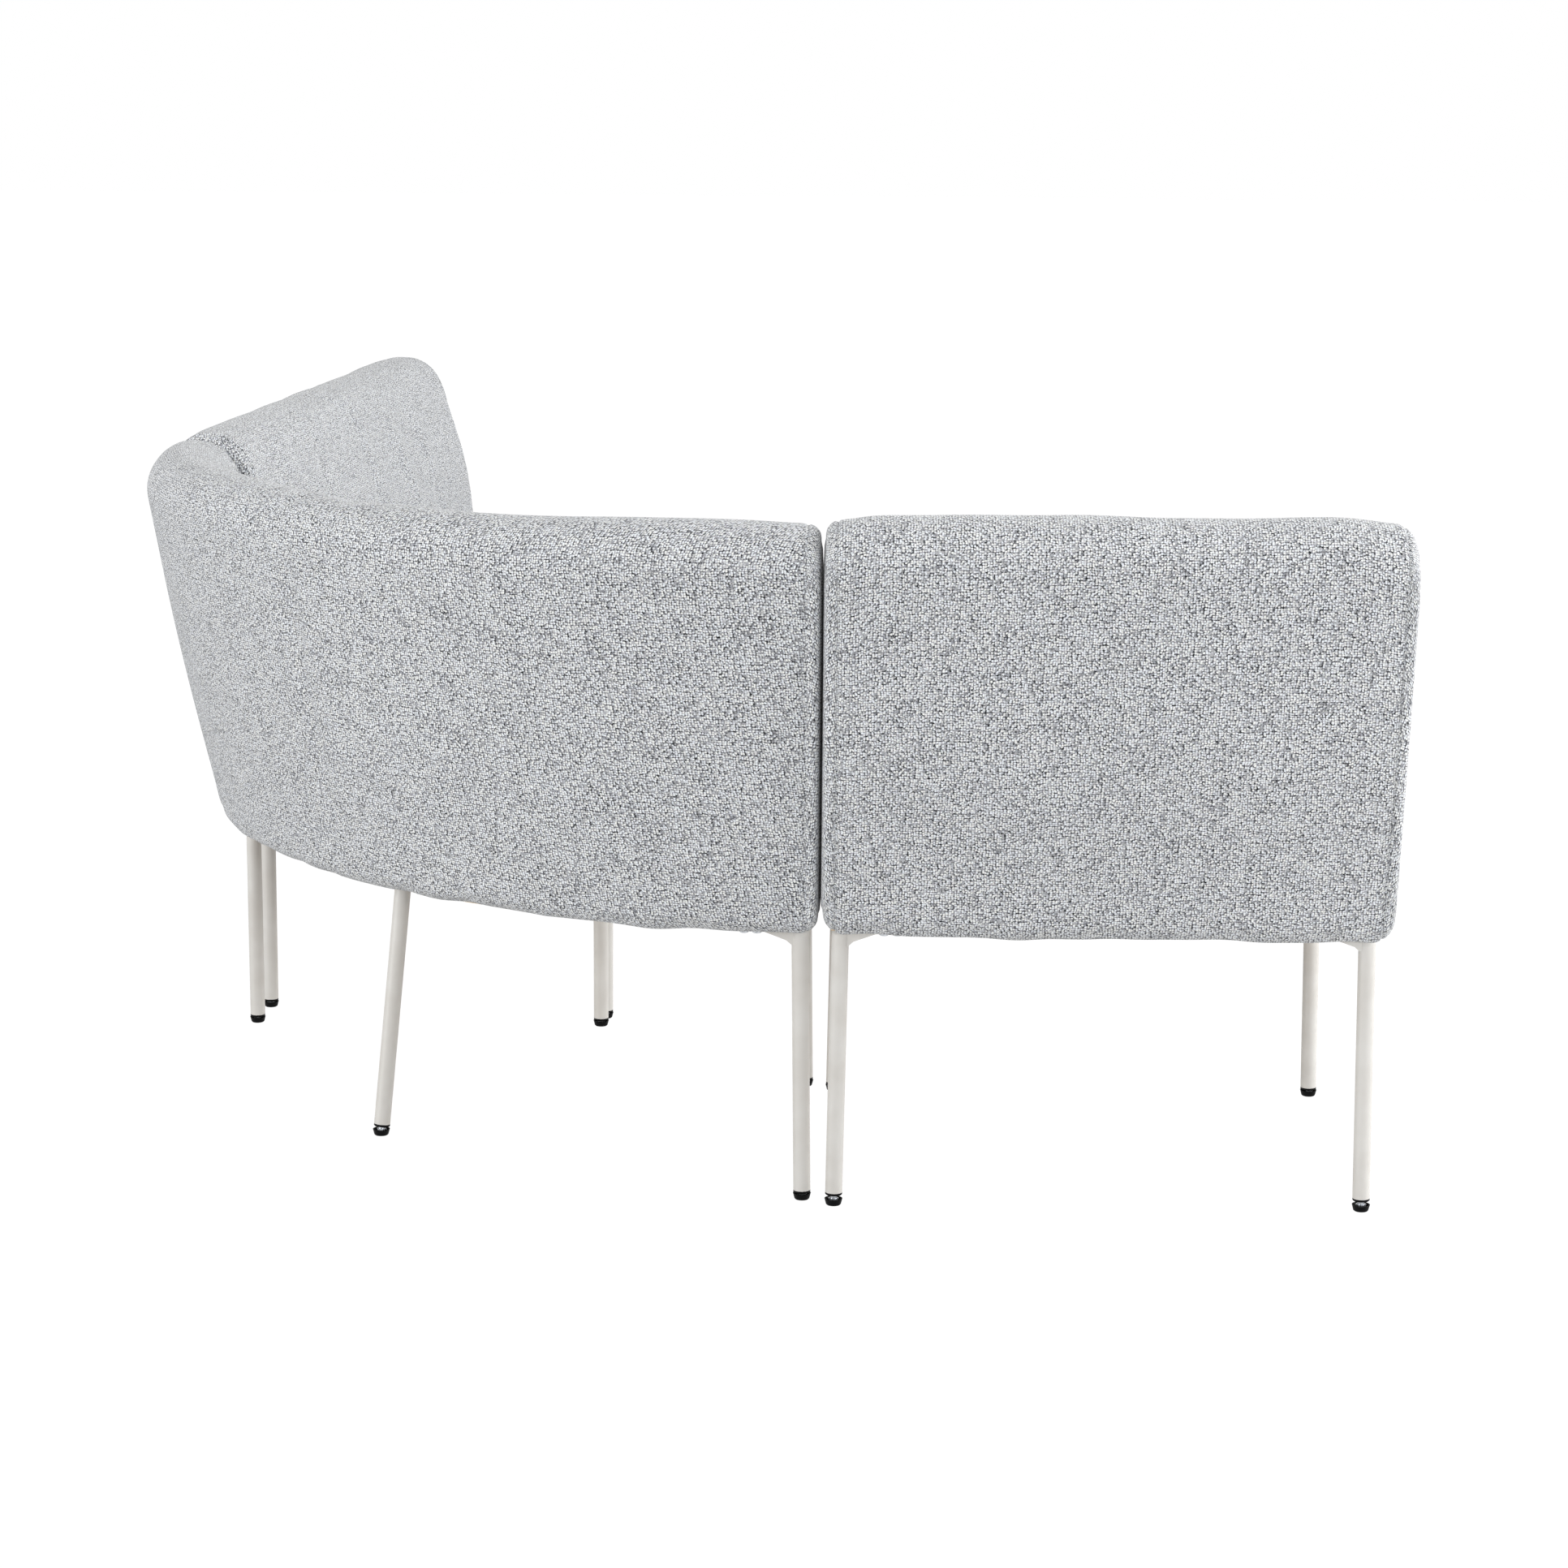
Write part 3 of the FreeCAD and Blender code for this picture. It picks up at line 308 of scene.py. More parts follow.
def relaxCover(name, pad, points, endDistance, height):
    # cloth under air pressure, held at its seams and under the hem; the pad takes its capped swelling
    rows, columns = points.shape[:2]
    seamRows = np.flatnonzero(np.abs(endDistance - pad["seamInset"]) < clothSim["seamTolerance"])[[0, -1]]
    evenRows = np.linspace(2, rows - 3, max(int(rows / clothSim["rowStep"]), clothSim["fewestRows"])).astype(int)
    chosenRows = np.unique(np.concatenate([seamRows, [0, rows - 1], evenRows]))
    chosenColumns = np.arange(0, columns, clothSim["columnStep"])
    shell = points[np.ix_(chosenRows, chosenColumns)]
    count, around = shell.shape[:2]
    mesh = bpy.data.meshes.new(f"{name}_shell")
    mesh.from_pydata(shell.reshape(-1, 3).tolist(), [], gridFaces(count, around))
    centre = shell.mean((0, 1))
    if (np.cross(shell[1:, 1:] - shell[1:, :-1], shell[1:, 1:] - shell[:-1, 1:]) * (shell[1:, 1:] - centre)).sum() < 0:
        mesh.flip_normals()
    piece = bpy.data.objects.new(f"{name}_shell", mesh)
    bpy.context.scene.collection.objects.link(piece)
    held = (endDistance[chosenRows] < pad["seamInset"] + clothSim["seamTolerance"])[:, None]
    held = held | (height[np.ix_(chosenRows, chosenColumns)] < clothSim["heldBelow"])
    sewn = piece.vertex_groups.new(name="sewn")
    sewn.add(np.flatnonzero(held.ravel()).tolist(), 1.0, "REPLACE")
    sewn.add(np.flatnonzero(~held.ravel()).tolist(), clothSim["foamHold"], "REPLACE")
    cloth = piece.modifiers.new("cloth", "CLOTH")
    for key, value in clothSim["settings"].items():
        setattr(cloth.settings, key, value)
    cloth.settings.effector_weights.gravity = 0
    cloth.collision_settings.use_collision = False
    for frameNumber in range(1, clothSim["frames"] + 1):
        bpy.context.scene.frame_set(frameNumber)
    settled = piece.evaluated_get(bpy.context.evaluated_depsgraph_get()).data
    moved = np.empty(count * around * 3)
    settled.vertices.foreach_get("co", moved)
    bpy.data.objects.remove(piece)
    bpy.data.meshes.remove(mesh)
    bpy.context.scene.frame_set(1)
    # only the movement along the surface's own normal counts, and its size is capped
    lift = ((moved.reshape(count, around, 3) - shell) * normalsOf(shell)).sum(-1)
    lift = clothSim["cap"] * np.tanh(lift / clothSim["cap"])
    lift = lift - clothSim["startSmaller"] * ~held
    lift = np.concatenate([lift, lift[:, :1]], 1)
    acrossWeights = blendWeights(np.arange(rows), chosenRows)
    aroundWeights = blendWeights(np.arange(columns), np.append(chosenColumns, columns))
    lift = acrossWeights @ lift @ aroundWeights.T
    print("cover relaxed:", name, "most out", round(lift.max() * 1000, 2), "mm, most in", round(lift.min() * 1000, 2))
    return points + normalsOf(points) * lift[..., None]


def surfacePush(pad, width, t, endDistance, turned, height, up):
    # how far the cover stands off its plain shape: seams, small waves, creases and a fuller front
    share = t[:, None] / width
    acrossGrid = t[:, None] + 0 * height
    upGrid = up[None, :] + 0 * height
    # a seam is a bell-shaped groove with a low, wider bell beside it
    above = smoothStep(pad["detailFrom"], pad["detailFrom"] + coverShape["detailEase"], height)
    groove = np.exp(-((endDistance - pad["seamInset"]) / (pad["grooveWidth"] / 2)) ** 2)
    fromBeside = endDistance - pad["seamInset"] - coverShape["besidePlace"] * pad["grooveWidth"]
    beside = np.exp(-(fromBeside / (coverShape["besideWidth"] * pad["grooveWidth"])) ** 2)
    push = -pad["grooveDepth"] * groove + pad["grooveDepth"] * coverShape["besideShare"] * beside
    push = push * above
    # small waves over the faces, and more along the hem
    inside = smoothStep(0, coverShape["wanderFade"], endDistance)
    push = push + inside * pad["wander"] * softNoise(
        height.shape, acrossGrid, upGrid, pad["seed"], coverShape["wanderAcross"], coverShape["wanderUp"])
    nearHem = np.exp(-(height / coverShape["hemWanderHeight"]) ** 2)
    push = push + inside * pad["hemWander"] * nearHem * softNoise(
        height.shape, acrossGrid, 0 * upGrid, pad["seed"] + 1, coverShape["hemWanderAcross"], 1.0)
    column = np.arange(height.shape[1])[None]
    rearStart = pad["bottomPoints"] + pad["hemPoints"]
    frontStart = rearStart + pad["facePoints"] + 2 * pad["topPoints"]
    sides = {
        "rear": (column >= rearStart) & (column < rearStart + pad["facePoints"]),
        "front": (column >= frontStart) & (column < frontStart + pad["facePoints"]),
    }
    outer, inner = coverShape["creaseFade"]
    for side, where, spread, rise, fromHeight, toHeight, leaning in pad["creases"]:
        # a soft ridge or fold across the face: a bell across, fading in and out up the face
        bend = coverShape["creaseBend"] * softNoise(
            height.shape, 0 * acrossGrid, upGrid, int(pad["seed"] + 1000 * where), 1.0, coverShape["creaseBendUp"],
            coverShape["creaseWaves"])
        middle = where * width + leaning * (height - (fromHeight + toHeight) / 2) + bend
        fade = smoothStep(fromHeight - outer, fromHeight + inner, height)
        fade = fade * (1 - smoothStep(toHeight - inner, toHeight + outer, height))
        push = push + sides[side] * rise * fade * np.exp(-((acrossGrid - middle) / spread) ** 2)
    if pad["frontSwell"]:
        # above the seat the front face is fuller: a bell up the face, its height going along the knots
        bell = np.sin(math.pi * np.clip((height - pad["swellFrom"]) / pad["swellHeight"], 0, 1)) ** 2
        swell = throughKnots(pad["frontSwell"], share) * turned
        push = push + sides["front"] * swell * bell
    return push


def endFaces(pad, place, along, r, z):
    # for each end: its outline, the way out from its middle line, and rings between the two with their places
    placeAt, _, metresPerUnit = place
    ends = []
    for row, outward in ((0, -1), (-1, 1)):
        flat = np.stack([r[row], z[row]], -1)
        centre = flat.mean(0)
        spread = flat - centre
        # the middle line lies along the outline's longest direction and stops half a thickness short
        axis = np.linalg.svd(spread, full_matrices=False)[2][0]
        reach = np.abs(spread @ axis).max()
        half = np.abs(spread @ np.array([-axis[1], axis[0]])).max()
        middle = centre + np.clip(spread @ axis, half - reach, reach - half)[:, None] * axis
        towards = (flat - middle) / np.maximum(np.linalg.norm(flat - middle, axis=1, keepdims=True), 1e-9)
        rings = []
        for q, lift in zip(coverShape["ringShares"], coverShape["ringSwell"]):
            at = flat + (middle - flat) * q
            step = outward * lift * pad["endSwell"] / metresPerUnit
            rings.append((placeAt(along[row] + step, at[None, :, 0], at[None, :, 1])[0], at))
        rings = rings[::outward]
        ends.append((flat, towards, np.stack([ring for ring, at in rings]), np.stack([at for ring, at in rings])))
    return ends


def weaveMap(pad, width, t, up, loop, grid, ends):
    # the weave's own map, in metres: straight up each panel, and flat on the end pieces outside the seams
    rows, columns = grid.shape[:2]
    ringCount = len(coverShape["ringShares"])
    path = np.concatenate([np.zeros((1, columns)), np.cumsum(np.linalg.norm(np.diff(grid, axis=0), axis=-1), 0)])
    path = path - path[rows // 2]
    seams = (pad["seamInset"], width - pad["seamInset"])
    seamRows = [int(np.argmin(np.abs(t - seam))) + ringCount for seam in seams]
    panel = np.stack([path, np.broadcast_to(np.append(up, loop)[None, :columns], path.shape)], -1)
    panelEnd = np.stack([path[:, 0], np.full(rows, loop)], -1)
    bands = []
    for edgeRow, ringRows, (flat, towards, _, ringPlaces) in zip(
            (ringCount, rows - ringCount - 1), (slice(0, ringCount), slice(-ringCount, None)), ends):
        beyond = np.abs(path - path[edgeRow])
        band = flat[None] + towards[None] * beyond[..., None]
        band[ringRows] = ringPlaces
        bands.append(band[..., ::-1])
    weave = np.zeros((rows - 1, columns, 4, 2))
    for index, (a, b) in enumerate(gridCorners(rows, columns)):
        # the second and third corner of the last column lie a whole loop up, not back at nought
        wrapped = (index in (1, 2)) & (np.arange(columns) == columns - 1)
        value = np.where(wrapped[None, :, None], panelEnd[a], panel[a, b])
        quadRow = np.arange(rows - 1)[:, None, None]
        value = np.where(quadRow < seamRows[0], bands[0][a, b], value)
        value = np.where(quadRow >= seamRows[1], bands[1][a, b], value)
        weave[:, :, index] = value
    return np.concatenate([weave.reshape(-1, 2), bands[0][0][::-1], bands[1][-1]])


def makePad(name, pad, section, place, width, node, body="bench"):
    # a closed cover: the section carried across the pad, shrinking round its ends, with flat end faces
    placeAt, alongAt, _ = place
    t = stationsAcross(width, pad)
    endDistance = np.minimum(t, width - t)[:, None]
    inset = quarterInset(endDistance, pad["edgeRound"])
    cut = quarterInset(endDistance, np.where(t < width / 2, *pad["cornerRounds"])[:, None])
    # the crown grows inwards from the ends like the angle of a quarter turn, and to the middle as a square
    turned = np.arccos(1 - np.minimum(endDistance, pad["hemCorner"]) / pad["hemCorner"]) / (math.pi / 2)
    fullness = coverShape["endFullness"] + (1 - coverShape["endFullness"]) * turned
    shoulder = width / 2 - pad["hemCorner"]
    fromMiddle = np.clip((t[:, None] - width / 2) / shoulder, -1, 1)
    fullness = fullness * (1 + pad["middleFuller"] * (1 - fromMiddle ** 2))
    r, z = section(pad, inset, cut, fullness, endDistance, t[:, None] / width)
    height = z - pad["hemHeight"]
    middleR, middleZ = r[len(t) // 2], z[len(t) // 2]
    up = np.concatenate([[0], np.cumsum(np.hypot(np.diff(middleR), np.diff(middleZ)))])
    loop = up[-1] + math.hypot(middleR[0] - middleR[-1], middleZ[0] - middleZ[-1])
    along = alongAt(t + pad["endReach"] * (t / width - 0.5 + 0.5 * pad["reachSide"]))[:, None]
    points = placeAt(along, r, z)
    push = surfacePush(pad, width, t, endDistance, turned, height, up)
    points = points + normalsOf(points) * push[..., None]
    points = relaxCover(name, pad, points, endDistance[:, 0], height)
    ends = endFaces(pad, place, along, r, z)
    grid = np.concatenate([ends[0][2], points, ends[1][2]])
    rows, columns = grid.shape[:2]

    mesh = bpy.data.meshes.new(name)
    mesh.from_pydata(grid.reshape(-1, 3).tolist(), [], gridFaces(rows, columns))
    layer = mesh.uv_layers.new(name="weave")
    layer.data.foreach_set("uv", weaveMap(pad, width, t, up, loop, grid, ends).astype(np.float32).ravel())
    mesh.polygons.foreach_set("use_smooth", [True] * len(mesh.polygons))
    mesh.update()
    volume = (np.cross(grid[:-1, :], grid[1:, :]) * np.roll(grid, -1, 1)[:-1]).sum()
    if volume < 0:
        mesh.flip_normals()
    piece = bpy.data.objects.new(name, mesh)
    bpy.context.scene.collection.objects.link(piece)
    piece.data.materials.append(materials["cover"])
    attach(piece, body)
    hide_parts(node)
    print("pad made:", name, rows, "x", columns)
    return piece


# Materials
def addNode(tree, kind, inputs=None, stops=None, **settings):
    # a node with its settings, its ramp's stops, and a value or a link for each input
    node = tree.nodes.new(kind)
    for key, value in settings.items():
        setattr(node, key, value)
    for key, value in (inputs or {}).items():
        socket = node.inputs[key]
        if isinstance(value, bpy.types.NodeSocket):
            tree.links.new(value, socket)
        else:
            socket.default_value = value
    if stops:
        while len(node.color_ramp.elements) < len(stops):
            node.color_ramp.elements.new(0.5)
        for element, (position, colour) in zip(node.color_ramp.elements, stops):
            element.position = position
            element.color = hexColour(colour) if isinstance(colour, str) else [colour] * 3 + [1]
    return node


def emptyTree(block):
    # the node tree of a material or of the world, with nothing in it
    block.use_nodes = True
    block.node_tree.nodes.clear()
    return block.node_tree


def makeMaterial(name, look, patternOf):
    # the look's pattern says what goes into the shader, and its fixed values are set on the sockets
    material = bpy.data.materials.new(name)
    tree = emptyTree(material)
    shader = addNode(tree, "ShaderNodeBsdfPrincipled", {**look["sockets"], **patternOf(tree, look)})
    addNode(tree, "ShaderNodeOutputMaterial", {"Surface": shader.outputs[0]})
    return material


# Woven cloth of looped pale yarn with darker flecks: the eye gets a pale grey, dry, finely speckled skin; the gaps
# between the loops also carry painted shade in the flecks' dark colours
clothLook = {
    "loopWide": 3.1,        # mm from loop to loop along a row
    "loopHigh": 2.8,        # mm from row to row
    "loopIrregular": 0.55,
    # the dome of a loop, from its middle outwards: its fall-off also paints shade into the gaps between the loops
    "domeStops": [(0.0, 1.0), (0.33, 0.95), (0.46, 0.08), (0.6, 0.0)],      # a loop from its middle outwards
    "loopStops": [(0.0, "#98999E"), (0.30, "#E5E6E9"), (1.0, "#FCFDFE")],
    "yarnStops": [(0.3, "#FAFAF6"), (0.7, "#F5F8FB")],
    "fleckMillimetres": 1.4, "fleckIrregular": 0.9,
    # the darker flecks' colours, which also serve as the painted shade in the gaps between the loops
    "fleckStops": [(0.05, "#131516"), (0.40, "#5C5D62"), (0.85, "#B4B5B9")],
    "driftPerMetre": 60.0, "drift": 0.004,          # rows wander by up to 2 mm, every 17 mm or so
    "patchMillimetres": 25.0, "patchShare": 0.30,
    # real fibres of some 0.03 mm are too fine to show, so they are drawn 0.45 mm across
    "fibresPerMetre": 2200.0, "fibreStops": [(0.25, 0.80), (0.75, 1.0)],
    "fleckRelief": 0.35, "fibreRelief": 0.25,       # shares of a loop's height
    "bumpMillimetres": 0.8, "bumpStrength": 0.5,
    "sockets": {"Roughness": 0.95, "Specular IOR Level": 0.15, "Sheen Weight": 0.30, "Sheen Roughness": 0.45},
}


def clothPattern(tree, look):
    uv = addNode(tree, "ShaderNodeUVMap", uv_map="weave").outputs[0]
    drift = addNode(tree, "ShaderNodeTexNoise", {
        "Vector": uv, "Scale": look["driftPerMetre"], "Detail": 1.0}).outputs["Color"]
    drift = addNode(tree, "ShaderNodeVectorMath", {0: drift, 1: (0.5, 0.5, 0.5)}, operation="SUBTRACT").outputs[0]
    drift = addNode(tree, "ShaderNodeVectorMath", {0: drift, "Scale": look["drift"]}, operation="SCALE").outputs[0]
    moved = addNode(tree, "ShaderNodeVectorMath", {0: uv, 1: drift}, operation="ADD").outputs[0]
    cell = addNode(tree, "ShaderNodeVectorMath", {
        0: moved, 1: (1000 / look["loopWide"], 1000 / look["loopHigh"], 1)}, operation="MULTIPLY").outputs[0]
    loops = addNode(tree, "ShaderNodeTexVoronoi", {
        "Vector": cell, "Scale": 1.0, "Randomness": look["loopIrregular"]},
        voronoi_dimensions="2D", feature="F1").outputs
    # painted shade: the dome fades each loop's colour into the dark fleck colour towards its edge, darkening the gaps
    # between loops
    loopDomeAndGapShade = addNode(tree, "ShaderNodeValToRGB", {0: loops["Distance"]}, look["domeStops"]).outputs[0]
    loopDraw = addNode(tree, "ShaderNodeSeparateColor", {0: loops["Color"]}).outputs
    # flecks of darker yarn show between the loops, and their dark colours there are also painted shade in the gaps
    flecks = addNode(tree, "ShaderNodeTexVoronoi", {
        "Vector": moved, "Scale": 1000 / look["fleckMillimetres"], "Randomness": look["fleckIrregular"]},
        voronoi_dimensions="2D", feature="F1").outputs
    fleckDraw = addNode(tree, "ShaderNodeSeparateColor", {0: flecks["Color"]}).outputs
    # patches of a few centimetres hold a few more or fewer of them
    patches = addNode(tree, "ShaderNodeTexNoise", {
        "Vector": uv, "Scale": 1000 / look["patchMillimetres"], "Detail": 2.0}).outputs["Fac"]
    patches = addNode(tree, "ShaderNodeMath", {
        0: patches, 1: look["patchShare"], 2: -look["patchShare"] / 2}, operation="MULTIPLY_ADD").outputs[0]
    fleckTone = addNode(tree, "ShaderNodeMath", {0: fleckDraw[0], 1: patches}, operation="ADD").outputs[0]
    gapShadeAndFleckColour = addNode(tree, "ShaderNodeValToRGB", {0: fleckTone}, look["fleckStops"]).outputs[0]
    loopTone = addNode(tree, "ShaderNodeMath", {0: loopDraw[0], 1: patches}, operation="ADD").outputs[0]
    loopColour = addNode(tree, "ShaderNodeValToRGB", {0: loopTone}, look["loopStops"]).outputs[0]
    yarn = addNode(tree, "ShaderNodeValToRGB", {0: loopDraw[2]}, look["yarnStops"]).outputs[0]
    loopColour = addNode(tree, "ShaderNodeMix", {
        "Factor": 1.0, 6: loopColour, 7: yarn}, data_type="RGBA", blend_type="MULTIPLY").outputs[2]
    # painted shade between the loops: where the dome falls off, the colour is the dark fleck colour
    cover = addNode(tree, "ShaderNodeMix", {
        "Factor": loopDomeAndGapShade, 6: gapShadeAndFleckColour, 7: loopColour}, data_type="RGBA").outputs[2]
    fibre = addNode(tree, "ShaderNodeTexNoise", {
        "Vector": uv, "Scale": look["fibresPerMetre"], "Detail": 1.0}).outputs["Fac"]
    shade = addNode(tree, "ShaderNodeValToRGB", {0: fibre}, look["fibreStops"]).outputs[0]
    colour = addNode(tree, "ShaderNodeMix", {
        "Factor": 1.0, 6: cover, 7: shade}, data_type="RGBA", blend_type="MULTIPLY").outputs[2]
    relief = addNode(tree, "ShaderNodeMath", {
        0: fleckDraw[0], 1: look["fleckRelief"], 2: loopDomeAndGapShade}, operation="MULTIPLY_ADD").outputs[0]
    relief = addNode(tree, "ShaderNodeMath", {
        0: fibre, 1: look["fibreRelief"], 2: relief}, operation="MULTIPLY_ADD").outputs[0]
    bump = addNode(tree, "ShaderNodeBump", {
        "Height": relief, "Strength": look["bumpStrength"], "Distance": look["bumpMillimetres"] / 1000}).outputs[0]
    return {"Base Color": colour, "Normal": bump}


# Polyester powder coat on steel: the eye gets an even satin skin with a faint orange peel
coatLook = {
    "grainMillimetres": 1.6, "detail": 1.0, "cloudsPerMetre": 22.0,
    "toneStops": [(0.35, "#BFBCB7"), (0.65, "#C6C4C0")], "roughStops": [(0.3, 0.46), (0.7, 0.56)],
    "bumpStrength": 0.12, "bumpMillimetres": 0.2,
    "sockets": {},
}
# Injection-moulded polyamide: the eye gets dull black with a spark-eroded grain, which is drawn at 0.5 mm
# because the real one of about 0.1 mm is too fine to show
plasticLook = {
    "grainMillimetres": 0.5, "detail": 2.0, "cloudsPerMetre": None,
    "toneStops": [(0.4, "#030304"), (0.75, "#09090A")], "roughStops": [(0.3, 0.42), (0.7, 0.56)],
    "bumpStrength": 0.2, "bumpMillimetres": 0.1,
    "sockets": {"Specular IOR Level": 0.08},
}
# Bright zinc plating on steel: the eye gets cool grey metal with a faint cloudy spangle
zincLook = {
    "grainMillimetres": 1.2, "detail": 2.0, "cloudsPerMetre": None,
    "toneStops": [(0.3, "#A4A7AC"), (0.7, "#C9CCD0")], "roughStops": [(0.3, 0.28), (0.7, 0.42)],
    "bumpStrength": None,
    "sockets": {"Metallic": 1.0},
}


def grainPattern(tree, look):
    # one grain gives the roughness and the bump, and the tone too where no larger clouds do
    place = addNode(tree, "ShaderNodeTexCoord").outputs["Object"]
    grain = addNode(tree, "ShaderNodeTexNoise", {
        "Vector": place, "Scale": 1000 / look["grainMillimetres"], "Detail": look["detail"]}).outputs["Fac"]
    clouds = grain
    if look["cloudsPerMetre"]:
        clouds = addNode(tree, "ShaderNodeTexNoise", {
            "Vector": place, "Scale": look["cloudsPerMetre"], "Detail": 2.0}).outputs["Fac"]
    inputs = {
        "Base Color": addNode(tree, "ShaderNodeValToRGB", {0: clouds}, look["toneStops"]).outputs[0],
        "Roughness": addNode(tree, "ShaderNodeValToRGB", {0: grain}, look["roughStops"]).outputs[0],
    }
    if look["bumpStrength"]:
        inputs["Normal"] = addNode(tree, "ShaderNodeBump", {
            "Height": grain, "Strength": look["bumpStrength"], "Distance": look["bumpMillimetres"] / 1000}).outputs[0]
    return inputs


# Birch plywood: the eye gets pale faces with long grain, and dark glue lines between the plies at the edges
plyLook = {
    "grainPerMetre": (8.0, 120.0, 120.0), "grainStops": [(0.35, "#B8935F"), (0.6, "#D9BE93")],
    "plyMillimetres": 1.5, "glue": "#7A5A38", "glueStops": [(0.0, 1.0), (0.1, 0.0), (0.9, 0.0), (1.0, 1.0)],
    "sockets": {"Roughness": 0.6},
}


def plyPattern(tree, look):
    place = addNode(tree, "ShaderNodeTexCoord").outputs["Object"]
    stretched = addNode(tree, "ShaderNodeMapping", {"Vector": place, "Scale": look["grainPerMetre"]}).outputs[0]
    grain = addNode(tree, "ShaderNodeTexNoise", {"Vector": stretched, "Scale": 1.0, "Detail": 5.0}).outputs["Fac"]
    face = addNode(tree, "ShaderNodeValToRGB", {0: grain}, look["grainStops"]).outputs[0]
    height = addNode(tree, "ShaderNodeSeparateXYZ", {0: place}).outputs[2]
    plies = addNode(tree, "ShaderNodeMath", {0: height, 1: 1000 / look["plyMillimetres"]}, operation="MULTIPLY")
    ply = addNode(tree, "ShaderNodeMath", {0: plies.outputs[0]}, operation="FRACT").outputs[0]
    line = addNode(tree, "ShaderNodeValToRGB", {0: ply}, look["glueStops"]).outputs[0]
    # the lines show on upright faces alone
    normal = addNode(tree, "ShaderNodeNewGeometry").outputs["Normal"]
    facing = addNode(tree, "ShaderNodeSeparateXYZ", {0: normal}).outputs[2]
    flat = addNode(tree, "ShaderNodeMath", {0: facing}, operation="ABSOLUTE").outputs[0]
    edge = addNode(tree, "ShaderNodeMath", {0: 1.0, 1: flat}, operation="SUBTRACT", use_clamp=True).outputs[0]
    glued = addNode(tree, "ShaderNodeMath", {0: line, 1: edge}, operation="MULTIPLY").outputs[0]
    colour = addNode(tree, "ShaderNodeMix", {
        "Factor": glued, 6: face, 7: hexColour(look["glue"])}, data_type="RGBA").outputs[2]
    return {"Base Color": colour}


materials = {
    "cover": makeMaterial("woven_loop_cloth", clothLook, clothPattern),
    "powder_coat": makeMaterial("powder_coated_steel", coatLook, grainPattern),
    "black_plastic": makeMaterial("moulded_polyamide", plasticLook, grainPattern),
    "zinc": makeMaterial("zinc_plated_steel", zincLook, grainPattern),
    "plywood": makeMaterial("birch_plywood", plyLook, plyPattern),
}
slotOfNode = {s["node"]: s["material_slot"] for s in frame["record"]["subparts"]}
for nodeName, nodeObject in frame["nodes"].items():
    material = materials.get(slotOfNode[nodeName], materials["cover"])
    nodeObject.data.materials.clear()
    nodeObject.data.materials.append(material)
print("materials given to the CAD nodes")

# Upholstery, in metres: what backs and seats have in common, then each of them
bothPads = {
    "hemHeight": 0.323, "leanDegrees": 11.5, "boardUnderside": 0.326, "coverThickness": 0.0006,
    "stripWidth": 0.009, "rollWidth": 0.006, "tuckWidth": 0.032, "seamInset": 0.013, "detailFrom": -0.01,
    "endReach": 0.0, "reachSide": 0, "creases": [],
}
backPad = {
    **bothPads,
    "topHeight": 0.807, "radius": 0.809, "thickness": 0.110,
    "crown": 0.006, "topRound": 0.050, "hemRound": 0.026, "frontRound": 0.014,
    "cornerRounds": (0.022, 0.022), "hemCorner": 0.021, "edgeRound": 0.006, "middleFuller": 0.7,
    "grooveDepth": 0.0023, "grooveWidth": 0.0036,
    "topSink": 0.006, "sinkReach": 0.085, "topLine": [(0, 0), (1, 0)], "hemLine": [(0, 0), (1, 0)],
    "frontSwell": [(0, 0.006), (1, 0.006)], "swellFrom": 0.15, "swellHeight": 0.32,
    "wander": 0.0007, "hemWander": 0.0009, "endSwell": 0.0023, "seed": 5, "fill": 0.9,
    "gridStep": 0.0055, "edgePoints": 12,
    "bottomPoints": 18, "hemPoints": 9, "facePoints": 76, "topPoints": 16,
}
seatPad = {
    **bothPads,
    "topHeight": 0.455, "backRadius": 0.809, "backDepth": 0.115, "frontRadius": 0.250,
    "crown": 0.008, "frontCrown": 0.004, "topRound": 0.030, "hemRound": 0.012, "rearRound": 0.016,
    "cornerRounds": (0.018, 0.018), "hemCorner": 0.018, "edgeRound": 0.011, "middleFuller": 0.0,
    "grooveDepth": 0.0014, "grooveWidth": 0.0032, "frontSwell": [],
    "wander": 0.0006, "hemWander": 0.0005, "endSwell": 0.0006, "seed": 31, "fill": 0.85,
    "gridStep": 0.0075, "edgePoints": 10,
    "bottomPoints": 44, "hemPoints": 7, "facePoints": 56, "topPoints": 10, "rearPoints": 14,
}

